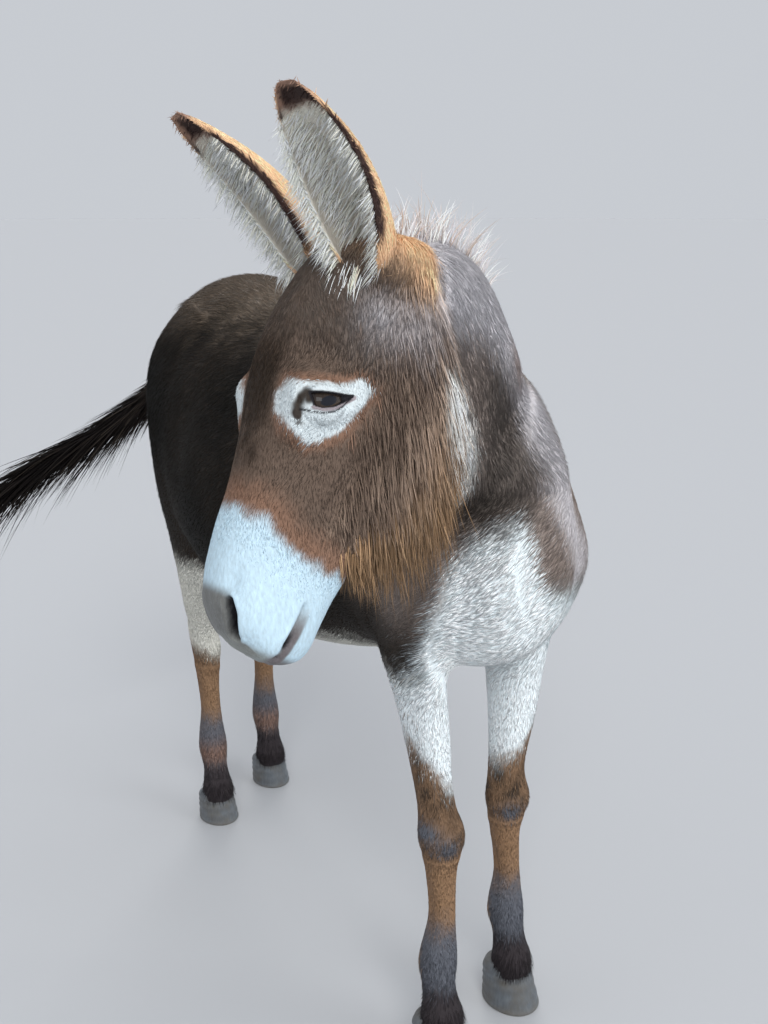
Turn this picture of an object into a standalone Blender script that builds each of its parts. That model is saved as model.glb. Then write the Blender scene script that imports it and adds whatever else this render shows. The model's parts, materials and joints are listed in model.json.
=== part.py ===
"""A life-size miniature donkey, standing still with its head turned to its right.

Metres, +Z up.  The donkey faces -Y, so its left side is +X, and it stands on Z = 0.
The body is built as a few lofts, fused into one smooth form and parted with thin cuts
where a person would name its parts.  Ears, eyes, hooves, mane, beard and tail are
solids of their own that fit that form.
"""

import math

import bmesh
import bpy
from mathutils import Matrix, Vector

# ---------------------------------------------------------------- driving dimensions

GAP = 0.0003              # clearance between neighbouring pieces
FLESH_VOXEL = 0.0065      # fineness of the fused body before it is thinned
FLESH_TRIANGLES = 3000    # what the fused body keeps

HEAD_YAW = math.radians(-80.0)     # turned to the donkey's right
HEAD_TILT = math.radians(-58.5)    # hanging down from the poll
HEAD_ROLL = math.radians(16.0)     # leaning over to the donkey's right
POLL = Vector((-0.221, -0.421, 0.934))

EAR_WALL = 0.0045
EAR_SIDES = 8
EAR_ROOT = (0.004, 0.014, 0.044)
EAR_FORWARD = 0.97
# Each ear: its length, the way it leans (along the head, above its axis, to the left) and
# how far outwards its cup faces
EARS = {
    "left": (0.181, (-0.325, 0.84, 0.40), 0.20),
    "right": (0.193, (-0.27, 0.95, -0.05), -0.07),
}
EYE_RADIUS = 0.0205
EYE_PLACE = (0.135, 0.0155, 0.0585)     # along the head, above its axis, to the side
NOSTRIL_PLACE = (0.325, 0.001, 0.036)
MOUTH_PLACE = (0.325, -0.061, 0.0)
MOUTH_SLOPE = 0.14
MUZZLE_EDGE = 0.238       # where the pale muzzle begins, along the head
THROAT = -0.060           # where the head leaves the neck, along the head

FORE_HOOF = 0.056         # height of the coronet above the floor
HIND_HOOF = 0.048
CORONET_SLOPE = 0.22      # how much higher the coronet is at the toe, per metre forward
HOOF_SIDES = 16

# Middle of each sole: side (+X is the donkey's left) and place along the body.
FORE_FEET = {"right": (-0.076, -0.352), "left": (0.062, -0.308)}
HIND_FEET = {"right": (-0.062, 0.322), "left": (0.070, 0.392)}
SIDES = {"right": -1, "left": 1}
FRONT_LEAN = -0.016       # the forequarters stand this far to the right of the feet
KNEE_LOW = 0.262          # where each leg is parted
HOCK_LOW = 0.268
FETLOCK_TOP = 0.108
CREASE = math.radians(50)     # edges sharper than this stay sharp
HAIR_SIDES = 12           # sides of the outline of mane, beard and tail

# Colour and roughness of what each node shows
COATS = {
    "body": ((0.070, 0.040, 0.028), 0.85),
    "face": ((0.150, 0.090, 0.060), 0.85),
    "muzzle": ((0.720, 0.700, 0.680), 0.70),
    "ear": ((0.360, 0.190, 0.090), 0.85),
    "eye": ((0.020, 0.014, 0.010), 0.08),
    "mane": ((0.300, 0.230, 0.180), 0.85),
    "beard": ((0.320, 0.160, 0.070), 0.85),
    "tail": ((0.020, 0.015, 0.014), 0.60),
    "white leg": ((0.600, 0.560, 0.520), 0.85),
    "cannon": ((0.160, 0.110, 0.085), 0.85),
    "pastern": ((0.060, 0.040, 0.045), 0.85),
    "hoof": ((0.230, 0.250, 0.280), 0.45),
}


# ---------------------------------------------------------------- general helpers


def clear_scene():
    for thing in list(bpy.data.objects):
        bpy.data.objects.remove(thing, do_unlink=True)


def finish(name, coat):
    colour, roughness = COATS[coat]
    material = bpy.data.materials.new(name)
    material.use_nodes = True
    shader = material.node_tree.nodes["Principled BSDF"]
    shader.inputs["Base Color"].default_value = (*colour, 1.0)
    shader.inputs["Roughness"].default_value = roughness
    shader.inputs["Metallic"].default_value = 0.0
    return material


def signed_power(value, power):
    return math.copysign(abs(value) ** power, value)


def smooth_between(stations, steps):
    """Stations are tuples of equal length; a Catmull-Rom curve runs through them."""
    dense = []
    last = len(stations) - 1
    for index in range(last):
        before = stations[max(index - 1, 0)]
        start, end = stations[index], stations[index + 1]
        after = stations[min(index + 2, last)]
        for step in range(steps):
            t = step / steps
            row = []
            for p0, p1, p2, p3 in zip(before, start, end, after):
                bend = 2 * p0 - 5 * p1 + 4 * p2 - p3
                turn = 3 * p1 - p0 - 3 * p2 + p3
                row.append(p1 + 0.5 * t * ((p2 - p0) + t * (bend + t * turn)))
            dense.append(tuple(row))
    dense.append(tuple(stations[-1]))
    return dense


def section(centre, side, above, width, top, bottom, power=2.0, count=28):
    """One closed outline: width to each side, top above the centre, bottom below it."""
    points = []
    for index in range(count):
        angle = 2 * math.pi * index / count
        across = signed_power(math.cos(angle), 2 / power) * width
        height = signed_power(math.sin(angle), 2 / power)
        height *= top if height > 0 else bottom
        points.append(centre + side * across + above * height)
    return points


def loft(rings):
    """A closed mesh through rings of equal count, its two ends closed by fans."""
    form = bmesh.new()
    rows = [[form.verts.new(point) for point in ring] for ring in rings]
    count = len(rows[0])
    for row, following in zip(rows, rows[1:]):
        for index in range(count):
            beside = (index + 1) % count
            form.faces.new((row[index], row[beside], following[beside], following[index]))
    for row in (rows[0], rows[-1]):
        middle = form.verts.new(sum((v.co for v in row), Vector()) / count)
        for index in range(count):
            form.faces.new((row[index], row[(index + 1) % count], middle))
    bmesh.ops.recalc_face_normals(form, faces=form.faces)
    return form


def mesh_from(form, name):
    mesh = bpy.data.meshes.new(name)
    form.to_mesh(mesh)
    form.free()
    return mesh


def shown(name, mesh, coat, place):
    """The finished node: a smooth-shaded object with its own material."""
    thing = bpy.data.objects.new(name, mesh)
    bpy.context.scene.collection.objects.link(thing)
    thing.location = place
    mesh.materials.clear()
    mesh.materials.append(finish(name, coat))
    mesh.shade_smooth()
    mesh.set_sharp_from_angle(angle=CREASE)
    return thing


def evaluated(mesh, add_modifiers):
    """The mesh after the modifiers that add_modifiers puts on a helper object."""
    helper = bpy.data.objects.new("helper", mesh)
    bpy.context.scene.collection.objects.link(helper)
    add_modifiers(helper)
    bpy.context.view_layer.update()
    graph = bpy.context.evaluated_depsgraph_get()
    result = bpy.data.meshes.new_from_object(helper.evaluated_get(graph))
    bpy.data.objects.remove(helper, do_unlink=True)
    return result


def joined(forms):
    """One mesh out of several bmeshes, still overlapping."""
    everything = bmesh.new()
    for form in forms:
        everything.from_mesh(mesh_from(form, "loft"))
    return mesh_from(everything, "lofts")


def carve(mesh, cutter):
    """What is left of a closed mesh outside another."""
    tool = bpy.data.objects.new("tool", cutter)
    bpy.context.scene.collection.objects.link(tool)
    tool.hide_render = True
    tool.display_type = "WIRE"

    def boolean(helper):
        step = helper.modifiers.new("cut", "BOOLEAN")
        step.operation = "DIFFERENCE"
        step.solver = "EXACT"
        step.object = tool

    result = evaluated(mesh, boolean)
    bpy.data.objects.remove(tool, do_unlink=True)
    return result


def grown(mesh, distance):
    """A copy of a mesh whose surface stands further out."""

    def displace(helper):
        step = helper.modifiers.new("grow", "DISPLACE")
        step.strength = distance
        step.mid_level = 0.0

    return evaluated(mesh.copy(), displace)


def fused(forms, voxel, rounds, triangles):
    """Overlapping lofts melted into one smooth closed form."""

    def melt(helper):
        remesh = helper.modifiers.new("melt", "REMESH")
        remesh.mode = "VOXEL"
        remesh.voxel_size = voxel
        soften = helper.modifiers.new("soften", "SMOOTH")
        soften.factor = 0.5
        soften.iterations = rounds

    dense = evaluated(joined(forms), melt)

    def thin(helper):
        step = helper.modifiers.new("thin", "DECIMATE")
        step.ratio = triangles / (2 * len(dense.polygons))
        step.use_collapse_triangulate = True

    return evaluated(dense, thin)


def half(mesh, point, normal):
    """The part of a closed mesh on the side that normal points to, closed again."""
    form = bmesh.new()
    form.from_mesh(mesh)
    everything = form.verts[:] + form.edges[:] + form.faces[:]
    bmesh.ops.bisect_plane(
        form, geom=everything, plane_co=point, plane_no=normal, clear_inner=True, dist=1e-7
    )
    rim = [edge for edge in form.edges if edge.is_boundary]
    bmesh.ops.holes_fill(form, edges=rim, sides=0)
    bmesh.ops.triangulate(form, faces=[face for face in form.faces if len(face.verts) > 3])
    bmesh.ops.recalc_face_normals(form, faces=form.faces)
    return mesh_from(form, "half")


def parted(mesh, point, normal):
    """Both sides of a thin plane cut: (the side normal points to, the other side)."""
    normal = Vector(normal).normalized()
    offset = normal * GAP / 2
    ahead = half(mesh, Vector(point) + offset, normal)
    behind = half(mesh, Vector(point) - offset, -normal)
    return ahead, behind


def bodies(mesh):
    """The separate closed bodies of a mesh, largest first."""
    form = bmesh.new()
    form.from_mesh(mesh)
    unseen = set(form.verts)
    groups = []
    while unseen:
        stack = [unseen.pop()]
        group = set(stack)
        while stack:
            for edge in stack.pop().link_edges:
                for vertex in edge.verts:
                    if vertex in unseen:
                        unseen.discard(vertex)
                        group.add(vertex)
                        stack.append(vertex)
        groups.append({vertex.index for vertex in group})
    form.free()
    pieces = []
    for group in groups:
        piece = bmesh.new()
        piece.from_mesh(mesh)
        piece.verts.ensure_lookup_table()
        others = [vertex for vertex in piece.verts if vertex.index not in group]
        bmesh.ops.delete(piece, geom=others, context="VERTS")
        volume = piece.calc_volume()
        pieces.append((volume, mesh_from(piece, "body")))
    pieces.sort(key=lambda pair: pair[0], reverse=True)
    return [piece for volume, piece in pieces]


def middle_of(mesh):
    return sum((vertex.co for vertex in mesh.vertices), Vector()) / len(mesh.vertices)


def left_and_right(mesh):
    """The two largest bodies of a mesh, named by side."""
    pair = sorted(bodies(mesh)[:2], key=lambda body: middle_of(body).x)
    return {"right": pair[0], "left": pair[1]}


# ---------------------------------------------------------------- the head's own frame

ALONG = Vector((
    math.sin(HEAD_YAW) * math.cos(HEAD_TILT),
    -math.cos(HEAD_YAW) * math.cos(HEAD_TILT),
    math.sin(HEAD_TILT),
))
UPRIGHT = Vector((
    -math.sin(HEAD_YAW) * math.sin(HEAD_TILT),
    math.cos(HEAD_YAW) * math.sin(HEAD_TILT),
    math.cos(HEAD_TILT),
))
BROW = Matrix.Rotation(HEAD_ROLL, 3, ALONG) @ UPRIGHT
HEAD_LEFT = BROW.cross(ALONG)


def on_head(along, above, left):
    """A point given along the head from the poll, above its axis and to its left."""
    return POLL + ALONG * along + BROW * above + HEAD_LEFT * left


# ---------------------------------------------------------------- the fused body


def trunk_form():
    """Sections from the breast to the buttocks: place, top, floor of belly, half width,
    height of the widest line, fullness of the outline, sideways lean."""
    stations = [
        (-0.432, 0.690, 0.570, 0.036, 0.630, 2.0, FRONT_LEAN),
        (-0.412, 0.750, 0.522, 0.072, 0.630, 2.1, FRONT_LEAN),
        (-0.370, 0.810, 0.493, 0.100, 0.620, 2.2, FRONT_LEAN),
        (-0.300, 0.858, 0.478, 0.120, 0.620, 2.2, FRONT_LEAN),
        (-0.210, 0.886, 0.462, 0.146, 0.620, 2.1, FRONT_LEAN * 0.6),
        (-0.110, 0.874, 0.434, 0.180, 0.615, 2.1, FRONT_LEAN * 0.3),
        (0.000, 0.866, 0.414, 0.202, 0.615, 2.1, 0.0),
        (0.100, 0.874, 0.420, 0.200, 0.625, 2.1, 0.0),
        (0.190, 0.890, 0.455, 0.184, 0.650, 2.1, 0.0),
        (0.270, 0.897, 0.500, 0.166, 0.680, 2.1, 0.0),
        (0.330, 0.884, 0.545, 0.142, 0.700, 2.1, 0.0),
        (0.375, 0.845, 0.600, 0.104, 0.710, 2.1, 0.0),
        (0.400, 0.800, 0.655, 0.062, 0.725, 2.0, 0.0),
        (0.414, 0.765, 0.690, 0.024, 0.728, 2.0, 0.0),
    ]
    rings = []
    for place, top, floor, width, wide, power, lean in smooth_between(stations, 3):
        centre = Vector((lean, place, wide))
        rings.append(section(centre, Vector((1, 0, 0)), Vector((0, 0, 1)), width,
                             top - wide, wide - floor, power))
    return loft(rings)


def tube(stations, steps=4, leaning=Vector((0, 0, 1)), count=24, fullness=2.1):
    """A loft along a curve.  A station is x, y, z, half width, rise above the line and
    depth below it; above is the direction nearest to leaning."""
    rows = smooth_between(stations, steps)
    centres = [Vector(row[:3]) for row in rows]
    rings = []
    for index, row in enumerate(rows):
        ahead = centres[min(index + 1, len(rows) - 1)] - centres[max(index - 1, 0)]
        ahead.normalize()
        above = (leaning - ahead * leaning.dot(ahead)).normalized()
        side = ahead.cross(above)
        rings.append(section(centres[index], side, above, *row[3:6], fullness, count))
    return loft(rings)


def neck_form():
    """Thick where it leaves the shoulders, thin along the crest."""
    stations = [
        (-0.014, -0.140, 0.690, 0.104, 0.178, 0.180),
        (-0.020, -0.240, 0.725, 0.092, 0.150, 0.190),
        (-0.044, -0.312, 0.782, 0.070, 0.130, 0.160),
        (-0.092, -0.368, 0.845, 0.062, 0.106, 0.128),
        (-0.158, -0.408, 0.896, 0.058, 0.082, 0.100),
        (-0.216, -0.424, 0.926, 0.050, 0.050, 0.070),
    ]
    return tube(stations, fullness=1.9)


def head_form():
    """Sections along the head: place, top, underside, half width, widest line, fullness."""
    stations = [
        (-0.040, 0.022, -0.050, 0.036, -0.010, 2.0),
        (-0.020, 0.042, -0.080, 0.054, -0.010, 2.0),
        (0.015, 0.055, -0.116, 0.065, -0.012, 2.1),
        (0.060, 0.062, -0.138, 0.070, -0.012, 2.2),
        (0.100, 0.061, -0.147, 0.071, -0.008, 2.3),
        (0.135, 0.055, -0.146, 0.069, -0.006, 2.3),
        (0.170, 0.046, -0.134, 0.060, -0.008, 2.3),
        (0.205, 0.040, -0.117, 0.050, -0.014, 2.3),
        (0.240, 0.035, -0.103, 0.043, -0.020, 2.3),
        (0.275, 0.029, -0.095, 0.042, -0.025, 2.3),
        (0.302, 0.022, -0.092, 0.045, -0.027, 2.3),
        (0.324, 0.010, -0.090, 0.045, -0.031, 2.3),
        (0.341, -0.007, -0.084, 0.037, -0.040, 2.1),
        (0.351, -0.028, -0.071, 0.022, -0.048, 2.0),
    ]
    rings = []
    for along, top, under, width, wide, power in smooth_between(stations, 3):
        rings.append(section(on_head(along, wide, 0), HEAD_LEFT, BROW, width,
                             top - wide, wide - under, power))
    return loft(rings)


def brow_form(side):
    """The bone ring that stands out around an eye."""
    along, above, out = EYE_PLACE
    stations = []
    for reach, size in ((-0.045, 0.016), (-0.020, 0.025), (0.005, 0.026), (0.040, 0.014)):
        place = on_head(along + reach, above + 0.004, side * (out - 0.010))
        stations.append((*place, size, size, size))
    return tube(stations, leaning=HEAD_LEFT)


def ear_root_form(side):
    """The muscle that the ear grows out of."""
    stations = []
    for along, above, out, size in (
        (-0.030, -0.045, 0.040, 0.012), (-0.014, -0.018, 0.046, 0.026),
        (0.002, 0.012, 0.044, 0.028), (0.012, 0.040, 0.036, 0.012),
    ):
        stations.append((*on_head(along, above, side * out), size, size, size))
    return tube(stations, leaning=HEAD_LEFT)


def leg_form(stations):
    """A leg as a tube whose width is across the body and whose depth is fore and aft."""
    return tube(stations, leaning=Vector((0, -1, 0)), count=20)


def foreleg_stations(side, foot):
    """From inside the shoulder to just inside the hoof."""
    foot_x, foot_y = foot
    shift = foot_y + 0.330
    lean = FRONT_LEAN
    brace = 0.004       # the left forearm bears more, and is thicker than the right
    return [
        (side * 0.070 + lean, -0.322, 0.640, 0.050, 0.080, 0.095),
        (side * 0.082 + lean + 0.6 * brace, -0.300 + 0.3 * shift, 0.545,
         0.043 + 0.6 * side * brace, 0.062, 0.064),
        (side * 0.076 + lean + brace, -0.304 + 0.5 * shift, 0.465,
         0.0355 + side * brace, 0.045, 0.044),
        (side * 0.068 + lean + 0.5 * brace, -0.313 + 0.6 * shift, 0.385,
         0.025 + 0.4 * side * brace, 0.032, 0.034),
        (side * 0.062 + lean, -0.321 + 0.7 * shift, 0.330, 0.024, 0.026, 0.028),
        (side * 0.061 + lean * 0.9, -0.325 + 0.8 * shift, 0.290, 0.0285, 0.030, 0.028),
        (side * 0.060 + lean * 0.8, -0.323 + 0.8 * shift, 0.250, 0.0205, 0.021, 0.024),
        (foot_x - side * 0.006, -0.321 + 0.9 * shift, 0.185, 0.0175, 0.018, 0.022),
        (foot_x - side * 0.002, -0.319 + shift, 0.130, 0.0245, 0.021, 0.029),
        (foot_x, -0.323 + shift, 0.092, 0.0215, 0.020, 0.024),
        (foot_x, -0.330 + shift, 0.060, 0.028, 0.025, 0.028),
        (foot_x, -0.331 + shift, FORE_HOOF - 0.022, 0.026, 0.024, 0.026),
    ]


def hindleg_stations(side, foot):
    """From inside the haunch to just inside the hoof."""
    foot_x, foot_y = foot
    shift = foot_y - 0.350
    return [
        (side * 0.100, 0.255, 0.720, 0.070, 0.100, 0.110),
        (side * 0.112, 0.235, 0.610, 0.060, 0.100, 0.108),
        (side * 0.108, 0.250 + 0.3 * shift, 0.510, 0.048, 0.078, 0.078),
        (side * 0.092, 0.308 + 0.6 * shift, 0.415, 0.033, 0.047, 0.042),
        (side * 0.077, 0.353 + 0.9 * shift, 0.345, 0.024, 0.030, 0.036),
        (foot_x + side * 0.004, 0.368 + shift, 0.300, 0.026, 0.034, 0.034),
        (foot_x + side * 0.002, 0.370 + shift, 0.250, 0.020, 0.024, 0.024),
        (foot_x, 0.368 + shift, 0.190, 0.018, 0.020, 0.021),
        (foot_x, 0.364 + shift, 0.128, 0.0245, 0.023, 0.029),
        (foot_x, 0.357 + shift, 0.088, 0.021, 0.021, 0.023),
        (foot_x, 0.350 + shift, 0.052, 0.027, 0.025, 0.027),
        (foot_x, 0.348 + shift, HIND_HOOF - 0.022, 0.025, 0.024, 0.025),
    ]


def shoulder_form(side):
    """Shoulder blade and upper arm, laid against the chest."""
    lean = FRONT_LEAN
    return tube([
        (side * 0.045 + lean, -0.215, 0.795, 0.036, 0.055, 0.060),
        (side * 0.070 + lean, -0.275, 0.730, 0.042, 0.070, 0.075),
        (side * 0.081 + lean, -0.330, 0.640, 0.041, 0.066, 0.070),
        (side * 0.087 + lean, -0.325, 0.570, 0.040, 0.058, 0.062),
        (side * 0.086 + lean, -0.300, 0.520, 0.036, 0.050, 0.055),
    ], leaning=Vector((0, -1, 0)))


def haunch_form(side):
    """Hip, thigh and buttock."""
    return tube([
        (side * 0.070, 0.215, 0.835, 0.048, 0.080, 0.110),
        (side * 0.104, 0.230, 0.760, 0.062, 0.105, 0.135),
        (side * 0.114, 0.235, 0.660, 0.058, 0.115, 0.138),
        (side * 0.110, 0.240, 0.570, 0.050, 0.095, 0.110),
        (side * 0.100, 0.270, 0.480, 0.040, 0.065, 0.070),
    ], leaning=Vector((0, -1, 0)))


def flesh():
    """Everything that is skin over muscle, as one form."""
    forms = [trunk_form(), neck_form(), head_form()]
    for side_name, side in SIDES.items():
        forms.append(brow_form(side))
        forms.append(ear_root_form(side))
        forms.append(shoulder_form(side))
        forms.append(haunch_form(side))
        forms.append(leg_form(foreleg_stations(side, FORE_FEET[side_name])))
        forms.append(leg_form(hindleg_stations(side, HIND_FEET[side_name])))
    return fused(forms, FLESH_VOXEL, 4, FLESH_TRIANGLES)


# ---------------------------------------------------------------- pieces of their own


def ball(centre, radius, stretch=None, segments=16, rings=10):
    """A sphere, or an ellipsoid when stretch gives three directions with their lengths."""
    form = bmesh.new()
    bmesh.ops.create_uvsphere(form, u_segments=segments, v_segments=rings, radius=radius)
    if stretch:
        turn = Matrix([direction * length for direction, length in stretch]).transposed()
        bmesh.ops.transform(form, matrix=turn.to_4x4(), verts=form.verts)
    bmesh.ops.translate(form, vec=centre, verts=form.verts)
    bmesh.ops.recalc_face_normals(form, faces=form.faces)
    return mesh_from(form, "ball")


def eye_centre(side):
    along, above, out = EYE_PLACE
    return on_head(along, above, side * out)


def nostril_hollow(side):
    """The comma-shaped opening of a nostril, as the solid that is cut away."""
    along, above, out = NOSTRIL_PLACE
    centre = on_head(along, above, side * out)
    lengthwise = (ALONG * 0.80 - BROW * 0.60).normalized()
    outward = HEAD_LEFT * side
    across = lengthwise.cross(outward).normalized()
    stretch = [(lengthwise, 0.015), (outward, 0.011), (across, 0.0062)]
    return ball(centre, 1.0, stretch, 12, 7)


def ear_form(base, tip, opening, bow):
    """A tall cup, rolled into a tube at its foot and coming to a point.

    opening is the direction it faces and bow is how far its middle stands back."""
    stations = [
        # share of the length, half width, wrap (in half turns), depth share
        (0.00, 0.0230, 1.60, 1.00),
        (0.12, 0.0285, 1.48, 0.92),
        (0.28, 0.0335, 1.30, 0.80),
        (0.46, 0.0350, 1.14, 0.72),
        (0.64, 0.0325, 1.06, 0.66),
        (0.80, 0.0262, 1.02, 0.60),
        (0.92, 0.0190, 0.98, 0.52),
        (1.00, 0.0100, 0.90, 0.42),
    ]
    axis = tip - base
    length = axis.length
    axis.normalize()
    facing = (opening - axis * opening.dot(axis)).normalized()
    side = axis.cross(facing)
    rings = []
    for share, width, wrap, depth in smooth_between(stations, 2):
        centre = base + axis * (share * length) - facing * (bow * math.sin(math.pi * share))
        wall = EAR_WALL * (1.0 - 0.45 * share)
        outer, inner = [], []
        for index in range(EAR_SIDES + 1):
            angle = math.pi * wrap * (index / EAR_SIDES - 0.5)
            across, back = math.sin(angle), -math.cos(angle) * depth
            outer.append(centre + side * (across * width) + facing * (back * width))
            tight = width - wall
            inner.append(centre + side * (across * tight) + facing * (back * tight))
        rings.append(outer + inner[::-1])
    return loft_with_strips(rings)


def loft_with_strips(rings):
    """Like loft, for long thin outlines: the ends are closed by a strip of quads."""
    form = bmesh.new()
    rows = [[form.verts.new(point) for point in ring] for ring in rings]
    count = len(rows[0])
    for row, following in zip(rows, rows[1:]):
        for index in range(count):
            beside = (index + 1) % count
            form.faces.new((row[index], row[beside], following[beside], following[index]))
    for row in (rows[0], rows[-1]):
        for index in range(count // 2 - 1):
            form.faces.new((row[index], row[index + 1], row[count - 2 - index],
                            row[count - 1 - index]))
    bmesh.ops.recalc_face_normals(form, faces=form.faces)
    return mesh_from(form, "strip loft")


def coronet_plane(foot, hoof):
    """The sloping plane between pastern and hoof: a point and its upward normal."""
    point = Vector((foot[0], foot[1] + hoof["back"], hoof["height"]))
    return point, Vector((0, CORONET_SLOPE, 1)).normalized()


def hoof_form(foot, hoof):
    """A cone with a flat sole whose top leans back."""
    foot_x, foot_y = foot
    sole, top = hoof["sole"], hoof["top"]
    rings = []
    for share, flare in ((0.0, -0.0015), (0.07, 0.0), (0.50, 0.0), (1.0, 0.0)):
        width = sole[0] + (top[0] - sole[0]) * share + flare
        length = sole[1] + (top[1] - sole[1]) * share + flare
        ring = []
        for index in range(HOOF_SIDES):
            angle = 2 * math.pi * index / HOOF_SIDES
            forward = math.sin(angle) * length
            height = share * (hoof["height"] + forward * CORONET_SLOPE)
            x = foot_x + math.cos(angle) * width
            y = foot_y - forward + hoof["back"] * share
            ring.append(Vector((x, y, height)))
        rings.append(ring)
    return mesh_from(loft(rings), "hoof")


def mane_form():
    """The short upright mane, a thin ridge along the crest."""
    stations = [
        (-0.012, -0.205, 0.872, 0.006, 0.006, 0.030),
        (-0.016, -0.262, 0.884, 0.010, 0.022, 0.040),
        (-0.046, -0.325, 0.906, 0.011, 0.030, 0.045),
        (-0.098, -0.375, 0.942, 0.011, 0.032, 0.045),
        (-0.158, -0.408, 0.974, 0.011, 0.028, 0.040),
        (-0.208, -0.424, 0.984, 0.009, 0.018, 0.040),
        (-0.236, -0.430, 0.980, 0.006, 0.006, 0.030),
    ]
    return mesh_from(tube(stations, steps=2, count=HAIR_SIDES), "mane")


def beard_form():
    """The long hair that hangs from the cheeks and the lower jaw."""
    stations = [
        # place along the jaw, its underside, drop of the hair, half thickness
        (0.055, -0.118, 0.025, 0.020),
        (0.085, -0.124, 0.062, 0.034),
        (0.120, -0.124, 0.092, 0.038),
        (0.155, -0.118, 0.094, 0.034),
        (0.190, -0.106, 0.080, 0.028),
        (0.220, -0.096, 0.056, 0.020),
        (0.245, -0.090, 0.026, 0.010),
    ]
    down = Vector((0.05, 0.0, -1.0)).normalized()
    rings = []
    for along, under, drop, thick in smooth_between(stations, 2):
        root = on_head(along, under, 0)
        ring = []
        for index in range(HAIR_SIDES):
            angle = 2 * math.pi * index / HAIR_SIDES
            fall = math.sin(angle)
            across = math.cos(angle) * thick * (1.0 - 0.55 * max(fall, 0.0))
            reach = drop * fall if fall > 0 else 0.030 * fall
            ring.append(root + HEAD_LEFT * across + down * reach)
        rings.append(ring)
    return mesh_from(loft(rings), "beard")


def tail_form():
    """Dock and switch, swung to the donkey's right."""
    stations = [
        (0.000, 0.355, 0.800, 0.020, 0.024, 0.022),
        (-0.016, 0.420, 0.770, 0.020, 0.022, 0.021),
        (-0.066, 0.478, 0.702, 0.016, 0.016, 0.016),
        (-0.138, 0.508, 0.645, 0.015, 0.014, 0.016),
        (-0.225, 0.520, 0.602, 0.019, 0.017, 0.022),
        (-0.300, 0.515, 0.566, 0.023, 0.020, 0.030),
        (-0.365, 0.506, 0.530, 0.022, 0.018, 0.034),
        (-0.420, 0.496, 0.486, 0.012, 0.010, 0.024),
        (-0.448, 0.490, 0.452, 0.003, 0.003, 0.006),
    ]
    return mesh_from(tube(stations, steps=2, count=HAIR_SIDES), "tail")


# ---------------------------------------------------------------- putting it together

# Plane cuts: a point and a normal, which points to the piece named first.
NECK_CUT = ((-0.030, -0.330, 0.780), (-0.62, -0.60, 0.50))
UPPER_NECK_CUT = ((-0.095, -0.395, 0.865), (-0.80, -0.36, 0.46))
DOCK_CUT = ((-0.110, 0.500, 0.666), (0.78, -0.30, 0.55))
TUFT_CUT = ((-0.262, 0.518, 0.584), (0.88, 0.05, 0.47))
CHEST_CUT = ((0.0, -0.200, 0.600), (0.0, -1.0, 0.0))
HIND_CUT = ((0.0, 0.150, 0.600), (0.0, 1.0, 0.0))
FORELEG_CUT = ((0.0, -0.330, 0.474), (0.0, 0.25, 1.0))
HINDLEG_CUT = ((0.0, 0.240, 0.462), (0.0, -0.417, 1.0))

# Hooves: half width and half length of the sole and of the coronet, height, and how
# far the coronet's middle stands behind the sole's.
FORE = {"sole": (0.034, 0.041), "top": (0.0285, 0.0285), "height": FORE_HOOF, "back": 0.014}
HIND = {"sole": (0.031, 0.037), "top": (0.0270, 0.0275), "height": HIND_HOOF, "back": 0.012}


def ears(skin, nodes):
    """Both ears stand up from the poll; the left one leans further out."""
    along, above, out = EAR_ROOT
    for name, (length, lean, outwards) in EARS.items():
        side = SIDES[name]
        base = on_head(along, above, side * out)
        direction = (ALONG * lean[0] + BROW * lean[1] + HEAD_LEFT * lean[2]).normalized()
        opening = ALONG * EAR_FORWARD + HEAD_LEFT * (side * outwards)
        ear = ear_form(base, base + direction * length, opening, 0.006)
        nodes["ear_" + name] = (bodies(carve(ear, skin))[0], "ear")


def head_pieces(head, nodes):
    """Eyes in their sockets, nostrils, and the head parted at the jaw and the muzzle."""
    for name, side in SIDES.items():
        head = carve(head, ball(eye_centre(side), EYE_RADIUS + GAP))
        nodes["eye_" + name] = (ball(eye_centre(side), EYE_RADIUS), "eye")
        head = carve(head, nostril_hollow(side))
    jaw, upper = parted(head, on_head(*MOUTH_PLACE), ALONG * MOUTH_SLOPE - BROW)
    muzzle, skull = parted(upper, on_head(MUZZLE_EDGE, 0.0, 0.0), ALONG + BROW * 0.15)
    nodes["head"] = (bodies(skull)[0], "face")
    nodes["muzzle"] = (bodies(muzzle)[0], "muzzle")
    nodes["lower_jaw"] = (bodies(jaw)[0], "face")


def leg_pieces(legs, prefix, upper_name, feet, joint_height, hoof, nodes):
    """A pair of legs, each parted below its middle joint and below its fetlock."""
    for name, leg in left_and_right(legs).items():
        stem = prefix + "_" + name + "_"
        foot = feet[name]
        point, normal = coronet_plane(foot, hoof)
        leg = half(leg, point + normal * GAP, normal)
        upper, rest = parted(leg, (0, 0, joint_height), (0, 0, 1))
        cannon, pastern = parted(rest, (*foot, FETLOCK_TOP), (0, 0.15, 1))
        nodes[stem + upper_name] = (upper, "white leg")
        nodes[stem + "cannon"] = (cannon, "cannon")
        nodes[stem + "pastern"] = (pastern, "pastern")
        nodes[stem + "hoof"] = (hoof_form(foot, hoof), "hoof")


def tail_pieces(skin, nodes):
    tail = bodies(carve(tail_form(), skin))[0]
    dock, switch = parted(tail, *DOCK_CUT)
    middle, tuft = parted(switch, *TUFT_CUT)
    nodes["tail_dock"] = (dock, "tail")
    nodes["tail_middle"] = (middle, "tail")
    nodes["tail_tuft"] = (tuft, "tail")


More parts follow.
